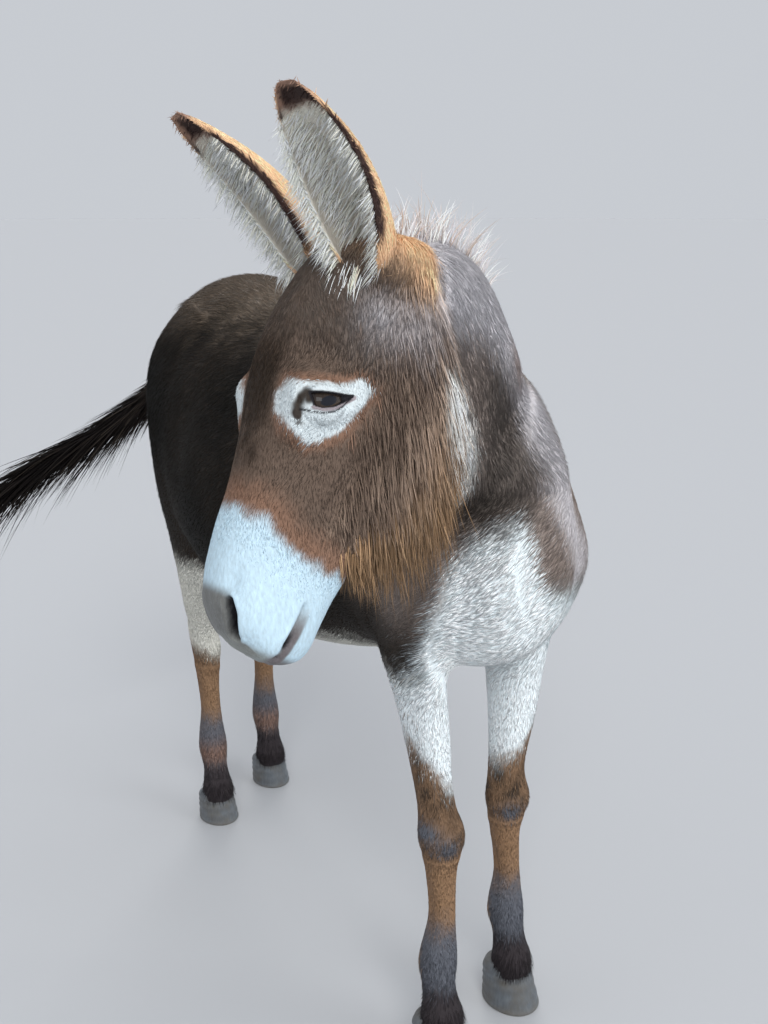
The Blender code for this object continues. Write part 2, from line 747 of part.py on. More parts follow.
def trunk_pieces(body, nodes):
    """Returns the front, with neck and head, and both pairs of legs."""
    front, trunk = parted(body, *NECK_CUT)
    chest, rest = parted(trunk, *CHEST_CUT)
    hind, barrel = parted(rest, *HIND_CUT)
    chest, forelegs = parted(chest, *FORELEG_CUT)
    hind, hindlegs = parted(hind, *HINDLEG_CUT)
    nodes["chest"] = (chest, "body")
    nodes["barrel"] = (barrel, "body")
    nodes["hindquarters"] = (hind, "body")
    return front, forelegs, hindlegs


def build():
    clear_scene()
    nodes = {}
    body = flesh()
    front, forelegs, hindlegs = trunk_pieces(body, nodes)
    head, neck = parted(front, on_head(THROAT, 0.0, 0.0), ALONG * 0.70 + BROW * 0.71)
    upper, lower = parted(neck, *UPPER_NECK_CUT)
    nodes["neck_upper"] = (bodies(upper)[0], "body")
    nodes["neck_lower"] = (bodies(lower)[0], "body")
    head_pieces(head, nodes)
    leg_pieces(forelegs, "foreleg", "forearm", FORE_FEET, KNEE_LOW, FORE, nodes)
    leg_pieces(hindlegs, "hindleg", "gaskin", HIND_FEET, HOCK_LOW, HIND, nodes)

    skin = grown(body, GAP)
    ears(skin, nodes)
    tail_pieces(skin, nodes)
    nodes["mane"] = (bodies(carve(mane_form(), skin))[0], "mane")
    nodes["beard"] = (bodies(carve(beard_form(), skin))[0], "beard")

    corners = [vertex.co for mesh, coat in nodes.values() for vertex in mesh.vertices]
    low = Vector([min(corner[axis] for corner in corners) for axis in range(3)])
    high = Vector([max(corner[axis] for corner in corners) for axis in range(3)])
    place = Vector((-(low.x + high.x) / 2, -(low.y + high.y) / 2, -low.z))
    for name, (mesh, coat) in nodes.items():
        shown(name, mesh, coat, place)


build()
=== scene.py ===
# %% [markdown]
# # A life-size miniature donkey, standing still
#
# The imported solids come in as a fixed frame. This script makes what is seen around them:
# one skin, eyes, hooves, and a coat of thousands of small tufts and longer locks.
# Every finished piece sits at the origin and keeps its place in its own mesh.

# %% Load the fixed frame
import json
import math

import bmesh
import bpy
import numpy as np
from mathutils import Matrix, Vector
from mathutils.bvhtree import BVHTree

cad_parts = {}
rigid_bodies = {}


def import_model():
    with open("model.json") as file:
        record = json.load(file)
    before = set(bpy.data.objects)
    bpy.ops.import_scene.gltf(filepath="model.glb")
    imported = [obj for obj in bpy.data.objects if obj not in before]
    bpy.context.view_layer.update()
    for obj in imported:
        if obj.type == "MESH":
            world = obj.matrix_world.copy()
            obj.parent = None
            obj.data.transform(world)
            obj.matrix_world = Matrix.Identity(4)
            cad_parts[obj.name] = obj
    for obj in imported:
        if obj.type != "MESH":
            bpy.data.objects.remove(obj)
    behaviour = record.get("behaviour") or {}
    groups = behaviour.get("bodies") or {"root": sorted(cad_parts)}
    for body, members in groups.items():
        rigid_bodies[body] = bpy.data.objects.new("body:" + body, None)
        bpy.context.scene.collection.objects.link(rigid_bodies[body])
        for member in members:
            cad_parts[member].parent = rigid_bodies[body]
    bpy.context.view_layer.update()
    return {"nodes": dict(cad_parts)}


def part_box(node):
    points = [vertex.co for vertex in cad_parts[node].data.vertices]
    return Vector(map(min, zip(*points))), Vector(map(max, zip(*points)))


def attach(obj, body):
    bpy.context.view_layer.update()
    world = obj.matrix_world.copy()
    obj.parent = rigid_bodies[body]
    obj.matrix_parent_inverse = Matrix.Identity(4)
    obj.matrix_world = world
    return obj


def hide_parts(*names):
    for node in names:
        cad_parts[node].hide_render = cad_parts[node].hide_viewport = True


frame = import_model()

print("solids in the frame:", len(frame["nodes"]))

# %% [markdown]
# ## The donkey's own directions
#
# The donkey faces -Y and its left side is +X. Its head hangs turned to its right, so the
# head gets three directions of its own: along the nose, up through the brow, and left.
# A point on the head is then three plain numbers in metres, whatever the pose.
# The place of the whole animal is read from the left eye's solid.

# %% Directions of the head
HEAD_YAW = math.radians(-80.0)
HEAD_TILT = math.radians(-58.5)
HEAD_ROLL = math.radians(16.0)
POLL = Vector((-0.221, -0.421, 0.934))
EYE_RADIUS = 0.0205
EYE_PLACE = (0.135, 0.0155, 0.0585)
SIDES = {"right": -1, "left": 1}

ALONG = Vector((
    math.sin(HEAD_YAW) * math.cos(HEAD_TILT),
    -math.cos(HEAD_YAW) * math.cos(HEAD_TILT),
    math.sin(HEAD_TILT),
))
UPRIGHT = Vector((
    -math.sin(HEAD_YAW) * math.sin(HEAD_TILT),
    math.cos(HEAD_YAW) * math.sin(HEAD_TILT),
    math.cos(HEAD_TILT),
))
BROW = Matrix.Rotation(HEAD_ROLL, 3, ALONG) @ UPRIGHT
HEAD_LEFT = BROW.cross(ALONG)
HEAD_AXES = np.array([ALONG, BROW, HEAD_LEFT])


def on_head(along, above, left):
    """A point given along the head from the poll, above its axis and to its left."""
    return POLL + ALONG * along + BROW * above + HEAD_LEFT * left


def head_numbers(points):
    """The same three numbers for an array of points."""
    return (points - np.array(POLL)) @ HEAD_AXES.T


def from_head(numbers):
    """The points that an array of such numbers stands for."""
    return numbers @ HEAD_AXES + np.array(POLL)


eye_low, eye_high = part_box("eye_left")
PLACE = np.array((Vector(eye_low) + Vector(eye_high)) / 2 - on_head(*EYE_PLACE))
print("the donkey's own origin stands at", PLACE.round(4))

# %% [markdown]
# ## The camera
#
# The camera stands ahead of the donkey and on its right, where its turned head looks, at
# a child's eye height, and looks slightly down. A frame higher than it is wide takes the
# sensor width along its height, so the focal length is worked out for that side.

# %% Camera
CAMERA_PLACE = (-0.780, -1.347, 1.000)
CAMERA_TURN = math.radians(32.0)
CAMERA_DIP = math.radians(14.8)
SENSOR = 36.0
FOCAL_SHARE = 1.1621      # focal length as a share of the picture's height

camera_data = bpy.data.cameras.new("camera")
camera_data.sensor_width = SENSOR
camera_data.lens = SENSOR * FOCAL_SHARE
camera = bpy.data.objects.new("camera", camera_data)
bpy.context.scene.collection.objects.link(camera)
camera.location = Vector(CAMERA_PLACE) + Vector(PLACE)
camera.rotation_euler = (math.pi / 2 - CAMERA_DIP, 0.0, -CAMERA_TURN)
bpy.context.scene.camera = camera

# %% [markdown]
# ## Helpers for shapes
#
# A body can be sculpted by hand, or lofted: rings are drawn across it at a few stations,
# and a smooth curve runs through them. Lofting was chosen, because every measure of the
# animal then stays a readable number.

# %% Lofts
LIFT = Vector((0, 0, 1))
AHEAD = Vector((0, -1, 0))
FLESH_VOXEL = 0.0066


def smooth_between(stations, steps):
    """Rows on a Catmull-Rom curve through stations of equal length."""
    rows = np.array(stations, float)
    padded = np.vstack([rows[:1], rows, rows[-1:]])
    dense = []
    for index in range(len(rows) - 1):
        p0, p1, p2, p3 = padded[index:index + 4]
        for step in range(steps):
            t = step / steps
            bend = 2 * p0 - 5 * p1 + 4 * p2 - p3
            turn = 3 * p1 - p0 - 3 * p2 + p3
            dense.append(p1 + 0.5 * t * ((p2 - p0) + t * (bend + t * turn)))
    return np.array(dense + [rows[-1]])


def section(centre, side, above, width, top, bottom, power=2.0, count=40):
    """One closed outline: width to each side, top above the centre, bottom below it."""
    angle = 2 * math.pi * np.arange(count) / count
    across = np.sign(np.cos(angle)) * np.abs(np.cos(angle)) ** (2 / power) * width
    height = np.sign(np.sin(angle)) * np.abs(np.sin(angle)) ** (2 / power)
    height = height * np.where(height > 0, top, bottom)
    centre, side, above = np.array(centre), np.array(side), np.array(above)
    return centre + across[:, None] * side + height[:, None] * above


def bands(rows, count):
    """Four-sided faces between rings of equal count that follow each other."""
    faces = []
    for row in range(rows - 1):
        for index in range(count):
            beside = (index + 1) % count
            faces.append((row * count + index, row * count + beside,
                          (row + 1) * count + beside, (row + 1) * count + index))
    return faces


def loft(rings):
    """Points and faces through rings of equal count, with a fan at each end."""
    count = len(rings[0])
    points = [tuple(point) for ring in rings for point in ring]
    faces = bands(len(rings), count)
    for row in (0, len(rings) - 1):
        middle = len(points)
        points.append(tuple(np.mean(rings[row], axis=0)))
        for index in range(count):
            faces.append((row * count + index, row * count + (index + 1) % count, middle))
    return points, faces


def tube(stations, steps=5, leaning=LIFT, count=36, fullness=2.1):
    """A loft along a curve. A station is x, y, z, half width, rise and depth."""
    rows = smooth_between(stations, steps)
    centres = [Vector(row[:3]) for row in rows]
    rings = []
    for index, row in enumerate(rows):
        ahead = centres[min(index + 1, len(rows) - 1)] - centres[max(index - 1, 0)]
        ahead.normalize()
        above = (leaning - ahead * leaning.dot(ahead)).normalized()
        rings.append(section(centres[index], ahead.cross(above), above, *row[3:6],
                             fullness, count))
    return loft(rings)


def mesh_of(name, points, faces):
    mesh = bpy.data.meshes.new(name)
    mesh.from_pydata([tuple(point) for point in points], [], faces)
    form = bmesh.new()
    form.from_mesh(mesh)
    bmesh.ops.recalc_face_normals(form, faces=form.faces)
    form.to_mesh(mesh)
    form.free()
    return mesh


def evaluated(mesh, add_modifiers):
    """The mesh after the modifiers that add_modifiers puts on a helper object."""
    helper = bpy.data.objects.new("helper", mesh)
    bpy.context.scene.collection.objects.link(helper)
    add_modifiers(helper)
    bpy.context.view_layer.update()
    graph = bpy.context.evaluated_depsgraph_get()
    result = bpy.data.meshes.new_from_object(helper.evaluated_get(graph))
    bpy.data.objects.remove(helper, do_unlink=True)
    return result


def points_of(mesh):
    points = np.empty(len(mesh.vertices) * 3)
    mesh.vertices.foreach_get("co", points)
    return points.reshape(-1, 3)


def normals_of(mesh):
    normals = np.empty(len(mesh.vertices) * 3)
    mesh.vertex_normals.foreach_get("vector", normals)
    return normals.reshape(-1, 3)


def triangles_of(mesh):
    mesh.calc_loop_triangles()
    corners = np.empty(len(mesh.loop_triangles) * 3, np.int32)
    mesh.loop_triangles.foreach_get("vertices", corners)
    return corners.reshape(-1, 3)


def move_points(mesh, points):
    mesh.vertices.foreach_set("co", np.asarray(points, np.float32).ravel())
    mesh.update()


def store(mesh, name, kind, values):
    """A named attribute on the mesh's points, read later by nodes and materials."""
    layer = mesh.attributes.new(name, kind, "POINT")
    field = {"FLOAT": "value", "FLOAT_COLOR": "color"}.get(kind, "vector")
    layer.data.foreach_set(field, np.asarray(values, np.float32).ravel())


def as_piece(name, mesh, replaced):
    """Puts a finished mesh in its place and says what it stands for."""
    move_points(mesh, points_of(mesh) + PLACE)
    mesh.shade_smooth()
    piece = bpy.data.objects.new(name, mesh)
    bpy.context.scene.collection.objects.link(piece)
    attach(piece, "root")
    if replaced:
        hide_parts(*replaced)
    return piece


# %% [markdown]
# ## Soft steps and spots
#
# Sculpting and colouring both need soft masks: a step that rises smoothly, a round spot
# that fades out, and a gentle ripple that breaks up straight borders. With these few
# functions a marking is a sentence such as "white where the point is low and in front".

# %% Masks


def rise(value, low, high):
    """0 below low, 1 above high, smooth in between. Low may be the larger number."""
    share = np.clip((value - low) / (high - low), 0.0, 1.0)
    return share * share * (3.0 - 2.0 * share)


def fading(distance, width, power=2):
    """1 at no distance, fading out over width; power 4 keeps the middle flat."""
    return np.exp(-(distance / width) ** power)


def spot(points, centre, size):
    """1 at the centre, fading out over size, which may differ in each direction."""
    gap = (points - np.array(centre)) / np.array(size)
    return np.exp(-(gap * gap).sum(axis=1))


def ripple(points, length, turn=0.0):
    """A soft uneven pattern between about -1 and 1, length metres from crest to crest."""
    wave = 2 * math.pi / length
    bend = 0.25 * length * np.sin(0.43 * wave * points[:, [1, 2, 0]] + turn)
    x, y, z = (points + bend + 0.6 * bend[:, [2, 0, 1]]).T
    first = np.sin(wave * (x + 0.6 * y + 0.3 * z) + 1.7 + turn)
    second = np.sin(wave * (0.8 * z - 0.5 * x + 0.4 * y) * 1.37 + 4.1 + 2.3 * turn)
    third = np.sin(wave * (y - 0.7 * z + 0.2 * x) * 0.83 + 0.6 - 1.1 * turn)
    return (first + second + third + first * second * third) / 3.2


def mixed(first, second, share):
    """From one colour or direction to another, by a share for each point."""
    return first + (np.asarray(second) - first) * np.asarray(share)[:, None]


def with_alpha(colour):
    """Colours with the fourth number that a colour attribute has."""
    return np.column_stack([colour, np.ones(len(colour))])


# %% [markdown]
# ## The flesh
#
# The trunk, neck, head and legs are separate lofts that overlap. A voxel remesh melts
# them into one closed form, as a modeller would join balls of clay, and a few rounds of
# smoothing take away the seams. The measures are those of the solids in the frame.

# %% Stations of the body
FORE_HOOF = 0.056
HIND_HOOF = 0.048
CORONET_SLOPE = 0.22
FORE_FEET = {"right": (-0.076, -0.352), "left": (0.062, -0.308)}
HIND_FEET = {"right": (-0.062, 0.322), "left": (0.070, 0.392)}
FRONT_LEAN = -0.016

# Trunk: place, top, floor of belly, half width, widest line, fullness, sideways lean
TRUNK = [
    (-0.432, 0.690, 0.570, 0.036, 0.630, 2.0, FRONT_LEAN),
    (-0.412, 0.750, 0.522, 0.072, 0.630, 2.1, FRONT_LEAN),
    (-0.370, 0.810, 0.493, 0.100, 0.620, 2.2, FRONT_LEAN),
    (-0.300, 0.858, 0.478, 0.120, 0.620, 2.2, FRONT_LEAN),
    (-0.210, 0.886, 0.462, 0.146, 0.620, 2.1, FRONT_LEAN * 0.6),
    (-0.110, 0.874, 0.434, 0.180, 0.615, 2.1, FRONT_LEAN * 0.3),
    (0.000, 0.866, 0.414, 0.202, 0.615, 2.1, 0.0),
    (0.100, 0.874, 0.420, 0.200, 0.625, 2.1, 0.0),
    (0.190, 0.890, 0.455, 0.184, 0.650, 2.1, 0.0),
    (0.270, 0.897, 0.500, 0.166, 0.680, 2.1, 0.0),
    (0.330, 0.884, 0.545, 0.142, 0.700, 2.1, 0.0),
    (0.375, 0.845, 0.600, 0.104, 0.710, 2.1, 0.0),
    (0.400, 0.800, 0.655, 0.062, 0.725, 2.0, 0.0),
    (0.414, 0.765, 0.690, 0.024, 0.728, 2.0, 0.0),
]
NECK = [
    (-0.014, -0.140, 0.690, 0.104, 0.178, 0.180),
    (-0.020, -0.240, 0.725, 0.092, 0.150, 0.190),
    (-0.044, -0.312, 0.782, 0.070, 0.130, 0.160),
    (-0.092, -0.368, 0.845, 0.062, 0.106, 0.128),
    (-0.158, -0.408, 0.896, 0.058, 0.082, 0.100),
    (-0.216, -0.424, 0.926, 0.050, 0.050, 0.070),
]
# Head: place along it, top, underside, half width, widest line, fullness
HEAD = [
    (-0.040, 0.022, -0.050, 0.036, -0.010, 2.0),
    (-0.020, 0.042, -0.080, 0.054, -0.010, 2.0),
    (0.015, 0.055, -0.116, 0.065, -0.012, 2.1),
    (0.060, 0.062, -0.138, 0.070, -0.012, 2.2),
    (0.100, 0.061, -0.147, 0.071, -0.008, 2.3),
    (0.135, 0.055, -0.146, 0.069, -0.006, 2.3),
    (0.170, 0.046, -0.134, 0.060, -0.008, 2.3),
    (0.205, 0.040, -0.117, 0.050, -0.014, 2.3),
    (0.240, 0.035, -0.103, 0.043, -0.020, 2.3),
    (0.275, 0.029, -0.095, 0.042, -0.025, 2.3),
    (0.302, 0.022, -0.092, 0.045, -0.027, 2.3),
    (0.324, 0.010, -0.090, 0.045, -0.031, 2.3),
    (0.341, -0.007, -0.084, 0.037, -0.040, 2.1),
    (0.351, -0.028, -0.071, 0.022, -0.048, 2.0),
]

# %% Lofts of the trunk, head and legs


def trunk_form():
    rings = []
    for place, top, floor, width, wide, power, lean in smooth_between(TRUNK, 4):
        centre = (lean, place, wide)
        rings.append(section(centre, (1, 0, 0), (0, 0, 1), width, top - wide,
                             wide - floor, power, 56))
    return loft(rings)


def head_form():
    rings = []
    for along, top, under, width, wide, power in smooth_between(HEAD, 4):
        rings.append(section(on_head(along, wide, 0), HEAD_LEFT, BROW, width,
                             top - wide, wide - under, power))
    return loft(rings)


def brow_form(side):
    along, above, out = EYE_PLACE
    stations = []
    for reach, size in ((-0.045, 0.016), (-0.020, 0.025), (0.005, 0.026), (0.040, 0.014)):
        place = on_head(along + reach, above + 0.004, side * (out - 0.010))
        stations.append((*place, size, size, size))
    return tube(stations, leaning=HEAD_LEFT)


def ear_root_form(side):
    stations = []
    for along, above, out, size in (
        (-0.030, -0.045, 0.040, 0.012), (-0.014, -0.018, 0.046, 0.026),
        (0.002, 0.012, 0.044, 0.028), (0.012, 0.040, 0.036, 0.012),
    ):
        stations.append((*on_head(along, above, side * out), size, size, size))
    return tube(stations, leaning=HEAD_LEFT)


def foreleg_stations(side, foot):
    foot_x, foot_y = foot
    shift = foot_y + 0.330       # from where the foot of an even stance would be
    lean = FRONT_LEAN
    brace = 0.004       # the left forearm bears more, and is thicker than the right
    return [
        (side * 0.070 + lean, -0.322, 0.640, 0.050, 0.080, 0.095),
        (side * 0.082 + lean + 0.6 * brace, -0.300 + 0.3 * shift, 0.545,
         0.043 + 0.6 * side * brace, 0.062, 0.064),
        (side * 0.076 + lean + brace, -0.304 + 0.5 * shift, 0.465,
         0.0355 + side * brace, 0.045, 0.044),
        (side * 0.068 + lean + 0.5 * brace, -0.313 + 0.6 * shift, 0.385,
         0.025 + 0.4 * side * brace, 0.032, 0.034),
        (side * 0.062 + lean, -0.321 + 0.7 * shift, 0.330, 0.024, 0.026, 0.028),
        (side * 0.061 + lean * 0.9, -0.325 + 0.8 * shift, 0.290, 0.0285, 0.030, 0.028),
        (side * 0.060 + lean * 0.8, -0.323 + 0.8 * shift, 0.250, 0.0205, 0.021, 0.024),
        (foot_x - side * 0.006, -0.321 + 0.9 * shift, 0.185, 0.0175, 0.018, 0.022),
        (foot_x - side * 0.002, -0.319 + shift, 0.130, 0.0245, 0.021, 0.029),
        (foot_x, -0.323 + shift, 0.092, 0.0215, 0.020, 0.024),
        (foot_x, -0.330 + shift, 0.060, 0.028, 0.025, 0.028),
        (foot_x, -0.331 + shift, FORE_HOOF - 0.022, 0.026, 0.024, 0.026),
    ]


def hindleg_stations(side, foot):
    foot_x, foot_y = foot
    shift = foot_y - 0.350       # from where the foot of an even stance would be
    return [
        (side * 0.100, 0.255, 0.720, 0.070, 0.100, 0.110),
        (side * 0.112, 0.235, 0.610, 0.060, 0.100, 0.108),
        (side * 0.108, 0.250 + 0.3 * shift, 0.510, 0.048, 0.078, 0.078),
        (side * 0.092, 0.308 + 0.6 * shift, 0.415, 0.033, 0.047, 0.042),
        (side * 0.077, 0.353 + 0.9 * shift, 0.345, 0.024, 0.030, 0.036),
        (foot_x + side * 0.004, 0.368 + shift, 0.300, 0.026, 0.034, 0.034),
        (foot_x + side * 0.002, 0.370 + shift, 0.250, 0.020, 0.024, 0.024),
        (foot_x, 0.368 + shift, 0.190, 0.018, 0.020, 0.021),
        (foot_x, 0.364 + shift, 0.128, 0.0245, 0.023, 0.029),
        (foot_x, 0.357 + shift, 0.088, 0.021, 0.021, 0.023),
        (foot_x, 0.350 + shift, 0.052, 0.027, 0.025, 0.027),
        (foot_x, 0.348 + shift, HIND_HOOF - 0.022, 0.025, 0.024, 0.025),
    ]


def shoulder_form(side):
    lean = FRONT_LEAN
    return tube([
        (side * 0.045 + lean, -0.215, 0.795, 0.036, 0.055, 0.060),
        (side * 0.070 + lean, -0.275, 0.730, 0.042, 0.070, 0.075),
        (side * 0.081 + lean, -0.330, 0.640, 0.041, 0.066, 0.070),
        (side * 0.087 + lean, -0.325, 0.570, 0.040, 0.058, 0.062),
        (side * 0.086 + lean, -0.300, 0.520, 0.036, 0.050, 0.055),
    ], leaning=AHEAD)


def haunch_form(side):
    return tube([
        (side * 0.070, 0.215, 0.835, 0.048, 0.080, 0.110),
        (side * 0.104, 0.230, 0.760, 0.062, 0.105, 0.135),
        (side * 0.114, 0.235, 0.660, 0.058, 0.115, 0.138),
        (side * 0.110, 0.240, 0.570, 0.050, 0.095, 0.110),
        (side * 0.100, 0.270, 0.480, 0.040, 0.065, 0.070),
    ], leaning=AHEAD)


# %% Melt the lofts into one form


def melted(forms):
    points, faces = [], []
    for form_points, form_faces in forms:
        start = len(points)
        points += form_points
        faces += [tuple(start + index for index in face) for face in form_faces]

    def melt(helper):
        remesh = helper.modifiers.new("melt", "REMESH")
        remesh.mode = "VOXEL"
        remesh.voxel_size = FLESH_VOXEL
        soften = helper.modifiers.new("soften", "SMOOTH")
        soften.factor = 0.5
        soften.iterations = 5

    return evaluated(mesh_of("lofts", points, faces), melt)


legs = {}
body_forms = [trunk_form(), tube(NECK, fullness=1.9), head_form()]
for side_name, side in SIDES.items():
    foreleg = foreleg_stations(side, FORE_FEET[side_name])
    hindleg = hindleg_stations(side, HIND_FEET[side_name])
    legs["foreleg_" + side_name], legs["hindleg_" + side_name] = foreleg, hindleg
    body_forms += [brow_form(side), ear_root_form(side), shoulder_form(side),
                   haunch_form(side), tube(foreleg, leaning=AHEAD),
                   tube(hindleg, leaning=AHEAD)]
skin = melted(body_forms)
print("melted body:", len(skin.polygons), "faces")

# %% [markdown]
# ## Finer where it matters
#
# The flank needs few faces and an eyelid needs many. Faces of the head are split once,
# and those round the eyes, nostrils and mouth a second time, so the skin stays one piece
# and its budget goes where people look.

# %% Split the head's faces


def head_side(numbers):
    """Above zero on the head, below zero on the neck: a cut from the poll to the throat."""
    return 0.70 * (numbers[:, 0] + 0.060) + 0.71 * numbers[:, 1]


def on_the_head(points, margin=0.0):
    numbers = head_numbers(points)
    inside = (head_side(numbers) > margin) & (numbers[:, 0] < 0.42)
    return inside & (np.abs(numbers[:, 2]) < 0.12) & (numbers[:, 1] > -0.20)


def round_the_eyes(points, reach, outwards):
    """Within reach of an eye, and at least that far out from the middle of the head."""
    along, above, left = head_numbers(points).T
    near = np.hypot(along - EYE_PLACE[0], above - EYE_PLACE[1]) < reach
    return on_the_head(points) & near & (np.abs(left) > outwards)


def fine_places(points):
    """Round the eyes, the nostrils and the mouth."""
    along, above = head_numbers(points)[:, :2].T
    muzzle = on_the_head(points) & (along > 0.285) & (above > -0.090)
    return round_the_eyes(points, 0.044, 0.035) | muzzle


def refine(mesh, chosen, rounds):
    """Splits the chosen faces and softens what was split."""
    form = bmesh.new()
    form.from_mesh(mesh)
    edges = [edge for edge in form.edges
             if chosen[edge.verts[0].index] and chosen[edge.verts[1].index]]
    bmesh.ops.subdivide_edges(form, edges=edges, cuts=1, use_grid_fill=True)
    many_sided = [face for face in form.faces if len(face.verts) > 4]
    bmesh.ops.triangulate(form, faces=many_sided)
    form.to_mesh(mesh)
    form.free()
    inside = np.nonzero(on_the_head(points_of(mesh)))[0]

    def soften(helper):
        group = helper.vertex_groups.new(name="fine")
        group.add([int(index) for index in inside], 1.0, "REPLACE")
        smooth = helper.modifiers.new("soften", "SMOOTH")
        smooth.factor = 0.5
        smooth.iterations = rounds
        smooth.vertex_group = "fine"

    return evaluated(mesh, soften)


skin = refine(skin, on_the_head(points_of(skin), 0.02), 3)
skin = refine(skin, fine_places(points_of(skin)), 2)
skin = refine(skin, round_the_eyes(points_of(skin), 0.027, 0.045), 1)
print("after splitting:", len(skin.polygons), "faces")

# %% [markdown]
# ## Muscles, joints and hollows
#
# A swelling pushes the skin out along its normal, and a hollow pulls it in. Each is a
# centre, a size and a height, given for one side and used for both, just as a sculptor
# lays on muscle by muscle.

# %% Swellings of the body


def swell(points, normals, centre, size, height):
    return points + normals * (spot(points, centre, size) * height)[:, None]


# x is the distance from the middle line: place, size in each direction, height
BODY_SWELLS = [
    ((0.128, 0.165, 0.800), (0.030, 0.040, 0.035), 0.006),     # point of the hip
    ((0.165, 0.120, 0.700), (0.050, 0.045, 0.060), -0.009),    # hollow of the flank
    ((0.150, 0.175, 0.560), (0.050, 0.045, 0.050), 0.006),     # stifle
    ((0.120, 0.330, 0.640), (0.050, 0.030, 0.090), -0.005),    # groove of the thigh
    ((0.100, -0.380, 0.610), (0.040, 0.040, 0.040), 0.006),    # point of the shoulder
    ((0.100, -0.235, 0.530), (0.030, 0.030, 0.030), 0.006),    # elbow
    ((0.135, -0.200, 0.640), (0.040, 0.028, 0.090), -0.007),   # behind the shoulder
    ((0.000, -0.440, 0.590), (0.024, 0.040, 0.060), -0.004),   # groove of the breast
    ((0.045, -0.430, 0.600), (0.030, 0.030, 0.050), 0.005),    # breast muscles
    ((0.000, 0.010, 0.880), (0.016, 0.240, 0.040), 0.003),     # line of the spine
]
points, normals = points_of(skin), normals_of(skin)
for centre, size, height in BODY_SWELLS:
    for side in SIDES.values():
        lean = FRONT_LEAN if centre[1] < -0.15 else 0.0
        share = 0.5 if centre[0] == 0.0 else 1.0
        place = (side * centre[0] + lean, centre[1], centre[2])
        points = swell(points, normals, place, size, height * share)
# the turned neck runs smoothly into the left shoulder
points = swell(points, normals, (-0.020, -0.380, 0.820), (0.052, 0.052, 0.052), 0.011)


def leg_axis(stations, height):
    """The middle of a leg at one height or at many, from its stations."""
    rows = np.array(stations)[::-1]
    return [np.interp(height, rows[:, 2], rows[:, axis]) for axis in (0, 1)]


# Legs: height, how far ahead of the leg's axis, places to its left, size, how far it swells
FORE_SWELLS = [
    (0.292, 0.026, (0.000,), (0.018, 0.014, 0.016), 0.0035),              # front of the knee
    (0.272, -0.026, (0.000,), (0.012, 0.012, 0.014), 0.0035),             # back of the knee
    (0.195, -0.004, (0.018, -0.018), (0.010, 0.005, 0.050), -0.0032),     # beside the tendons
    (0.400, 0.020, (0.018,), (0.016, 0.020, 0.050), 0.0030),              # forearm
    (0.298, 0.004, (0.030, -0.030), (0.016, 0.020, 0.024), 0.0040),       # sides of the knee
    (0.118, -0.026, (0.000,), (0.016, 0.012, 0.012), 0.0040),             # back of the fetlock
]
HIND_SWELLS = [
    (0.325, -0.036, (0.000,), (0.010, 0.014, 0.020), 0.0060),             # point of the hock
    (0.360, -0.020, (0.018, -0.018), (0.010, 0.009, 0.040), -0.0045),     # ahead of its tendon
    (0.195, -0.003, (0.018, -0.018), (0.010, 0.005, 0.050), -0.0032),     # beside the tendons
    (0.115, -0.026, (0.000,), (0.016, 0.012, 0.012), 0.0040),             # back of the fetlock
]
for name, stations in legs.items():
    swells = FORE_SWELLS if name.startswith("fore") else HIND_SWELLS
    for height, ahead, lefts, size, rising in swells:
        x, y = leg_axis(stations, height)
        for left in lefts:
            points = swell(points, normals, (x + left, y - ahead, height), size, rising)
move_points(skin, points)

# %% [markdown]
# ## The face
#
# The cheek muscle, the bony crest below the eye, the hollow above it and the lips are
# swellings again, but given in the head's own numbers. The nostril and the mouth line
# are grooves, cut along a short path.

# %% Swellings of the face
FACE_SWELLS = [
    ((0.075, -0.070, 0.066), (0.045, 0.050, 0.030), 0.0040),    # cheek muscle
    ((0.150, -0.095, 0.060), (0.012, 0.040, 0.030), -0.0030),   # its front border
    ((0.185, -0.028, 0.055), (0.050, 0.009, 0.030), 0.0030),    # bony crest
    ((0.205, 0.006, 0.045), (0.040, 0.014, 0.020), -0.0030),    # hollow beside the nose
    ((0.098, 0.034, 0.058), (0.016, 0.014, 0.020), -0.0040),    # hollow above the eye
    ((0.124, 0.040, 0.055), (0.022, 0.010, 0.020), 0.0030),     # brow ridge
    ((0.300, 0.012, 0.034), (0.016, 0.008, 0.014), -0.0040),    # hollow above the nostril
    ((0.328, -0.014, 0.040), (0.020, 0.010, 0.014), 0.0035),    # outer wing of the nostril
    ((0.318, 0.012, 0.014), (0.022, 0.010, 0.012), 0.0015),     # inner wing
    ((0.336, -0.044, 0.022), (0.014, 0.012, 0.022), 0.0025),    # upper lip
    ((0.330, -0.083, 0.000), (0.016, 0.014, 0.028), 0.0025),    # chin
    ((0.290, -0.059, 0.042), (0.010, 0.008, 0.012), -0.0020),   # corner of the mouth
]
NOSTRIL_LINE = [(0.317, 0.009, 0.031), (0.324, 0.001, 0.031), (0.331, -0.006, 0.0285),
                (0.338, -0.013, 0.025)]
MOUTH_LINE = [(0.294, -0.058, 0.042), (0.310, -0.056, 0.043), (0.328, -0.054, 0.041),
              (0.342, -0.053, 0.030), (0.352, -0.053, 0.000)]
NOSTRIL_DEPTH, NOSTRIL_WIDTH = 0.0130, 0.0050
MOUTH_DEPTH, MOUTH_WIDTH = 0.0045, 0.0028
ROLL_HEIGHT, ROLL_WIDTH = 0.0012, 0.003     # the flesh stands up beside a groove


def path_distance(numbers, path):
    """How far each point lies from a path of straight pieces."""
    nearest = np.full(len(numbers), 9.0)
    for start, end in zip(path, path[1:]):
        start, end = np.array(start), np.array(end)
        reach = end - start
        share = np.clip(((numbers - start) @ reach) / (reach @ reach), 0.0, 1.0)
        gap = np.linalg.norm(numbers - start - share[:, None] * reach, axis=1)
        nearest = np.minimum(nearest, gap)
    return nearest


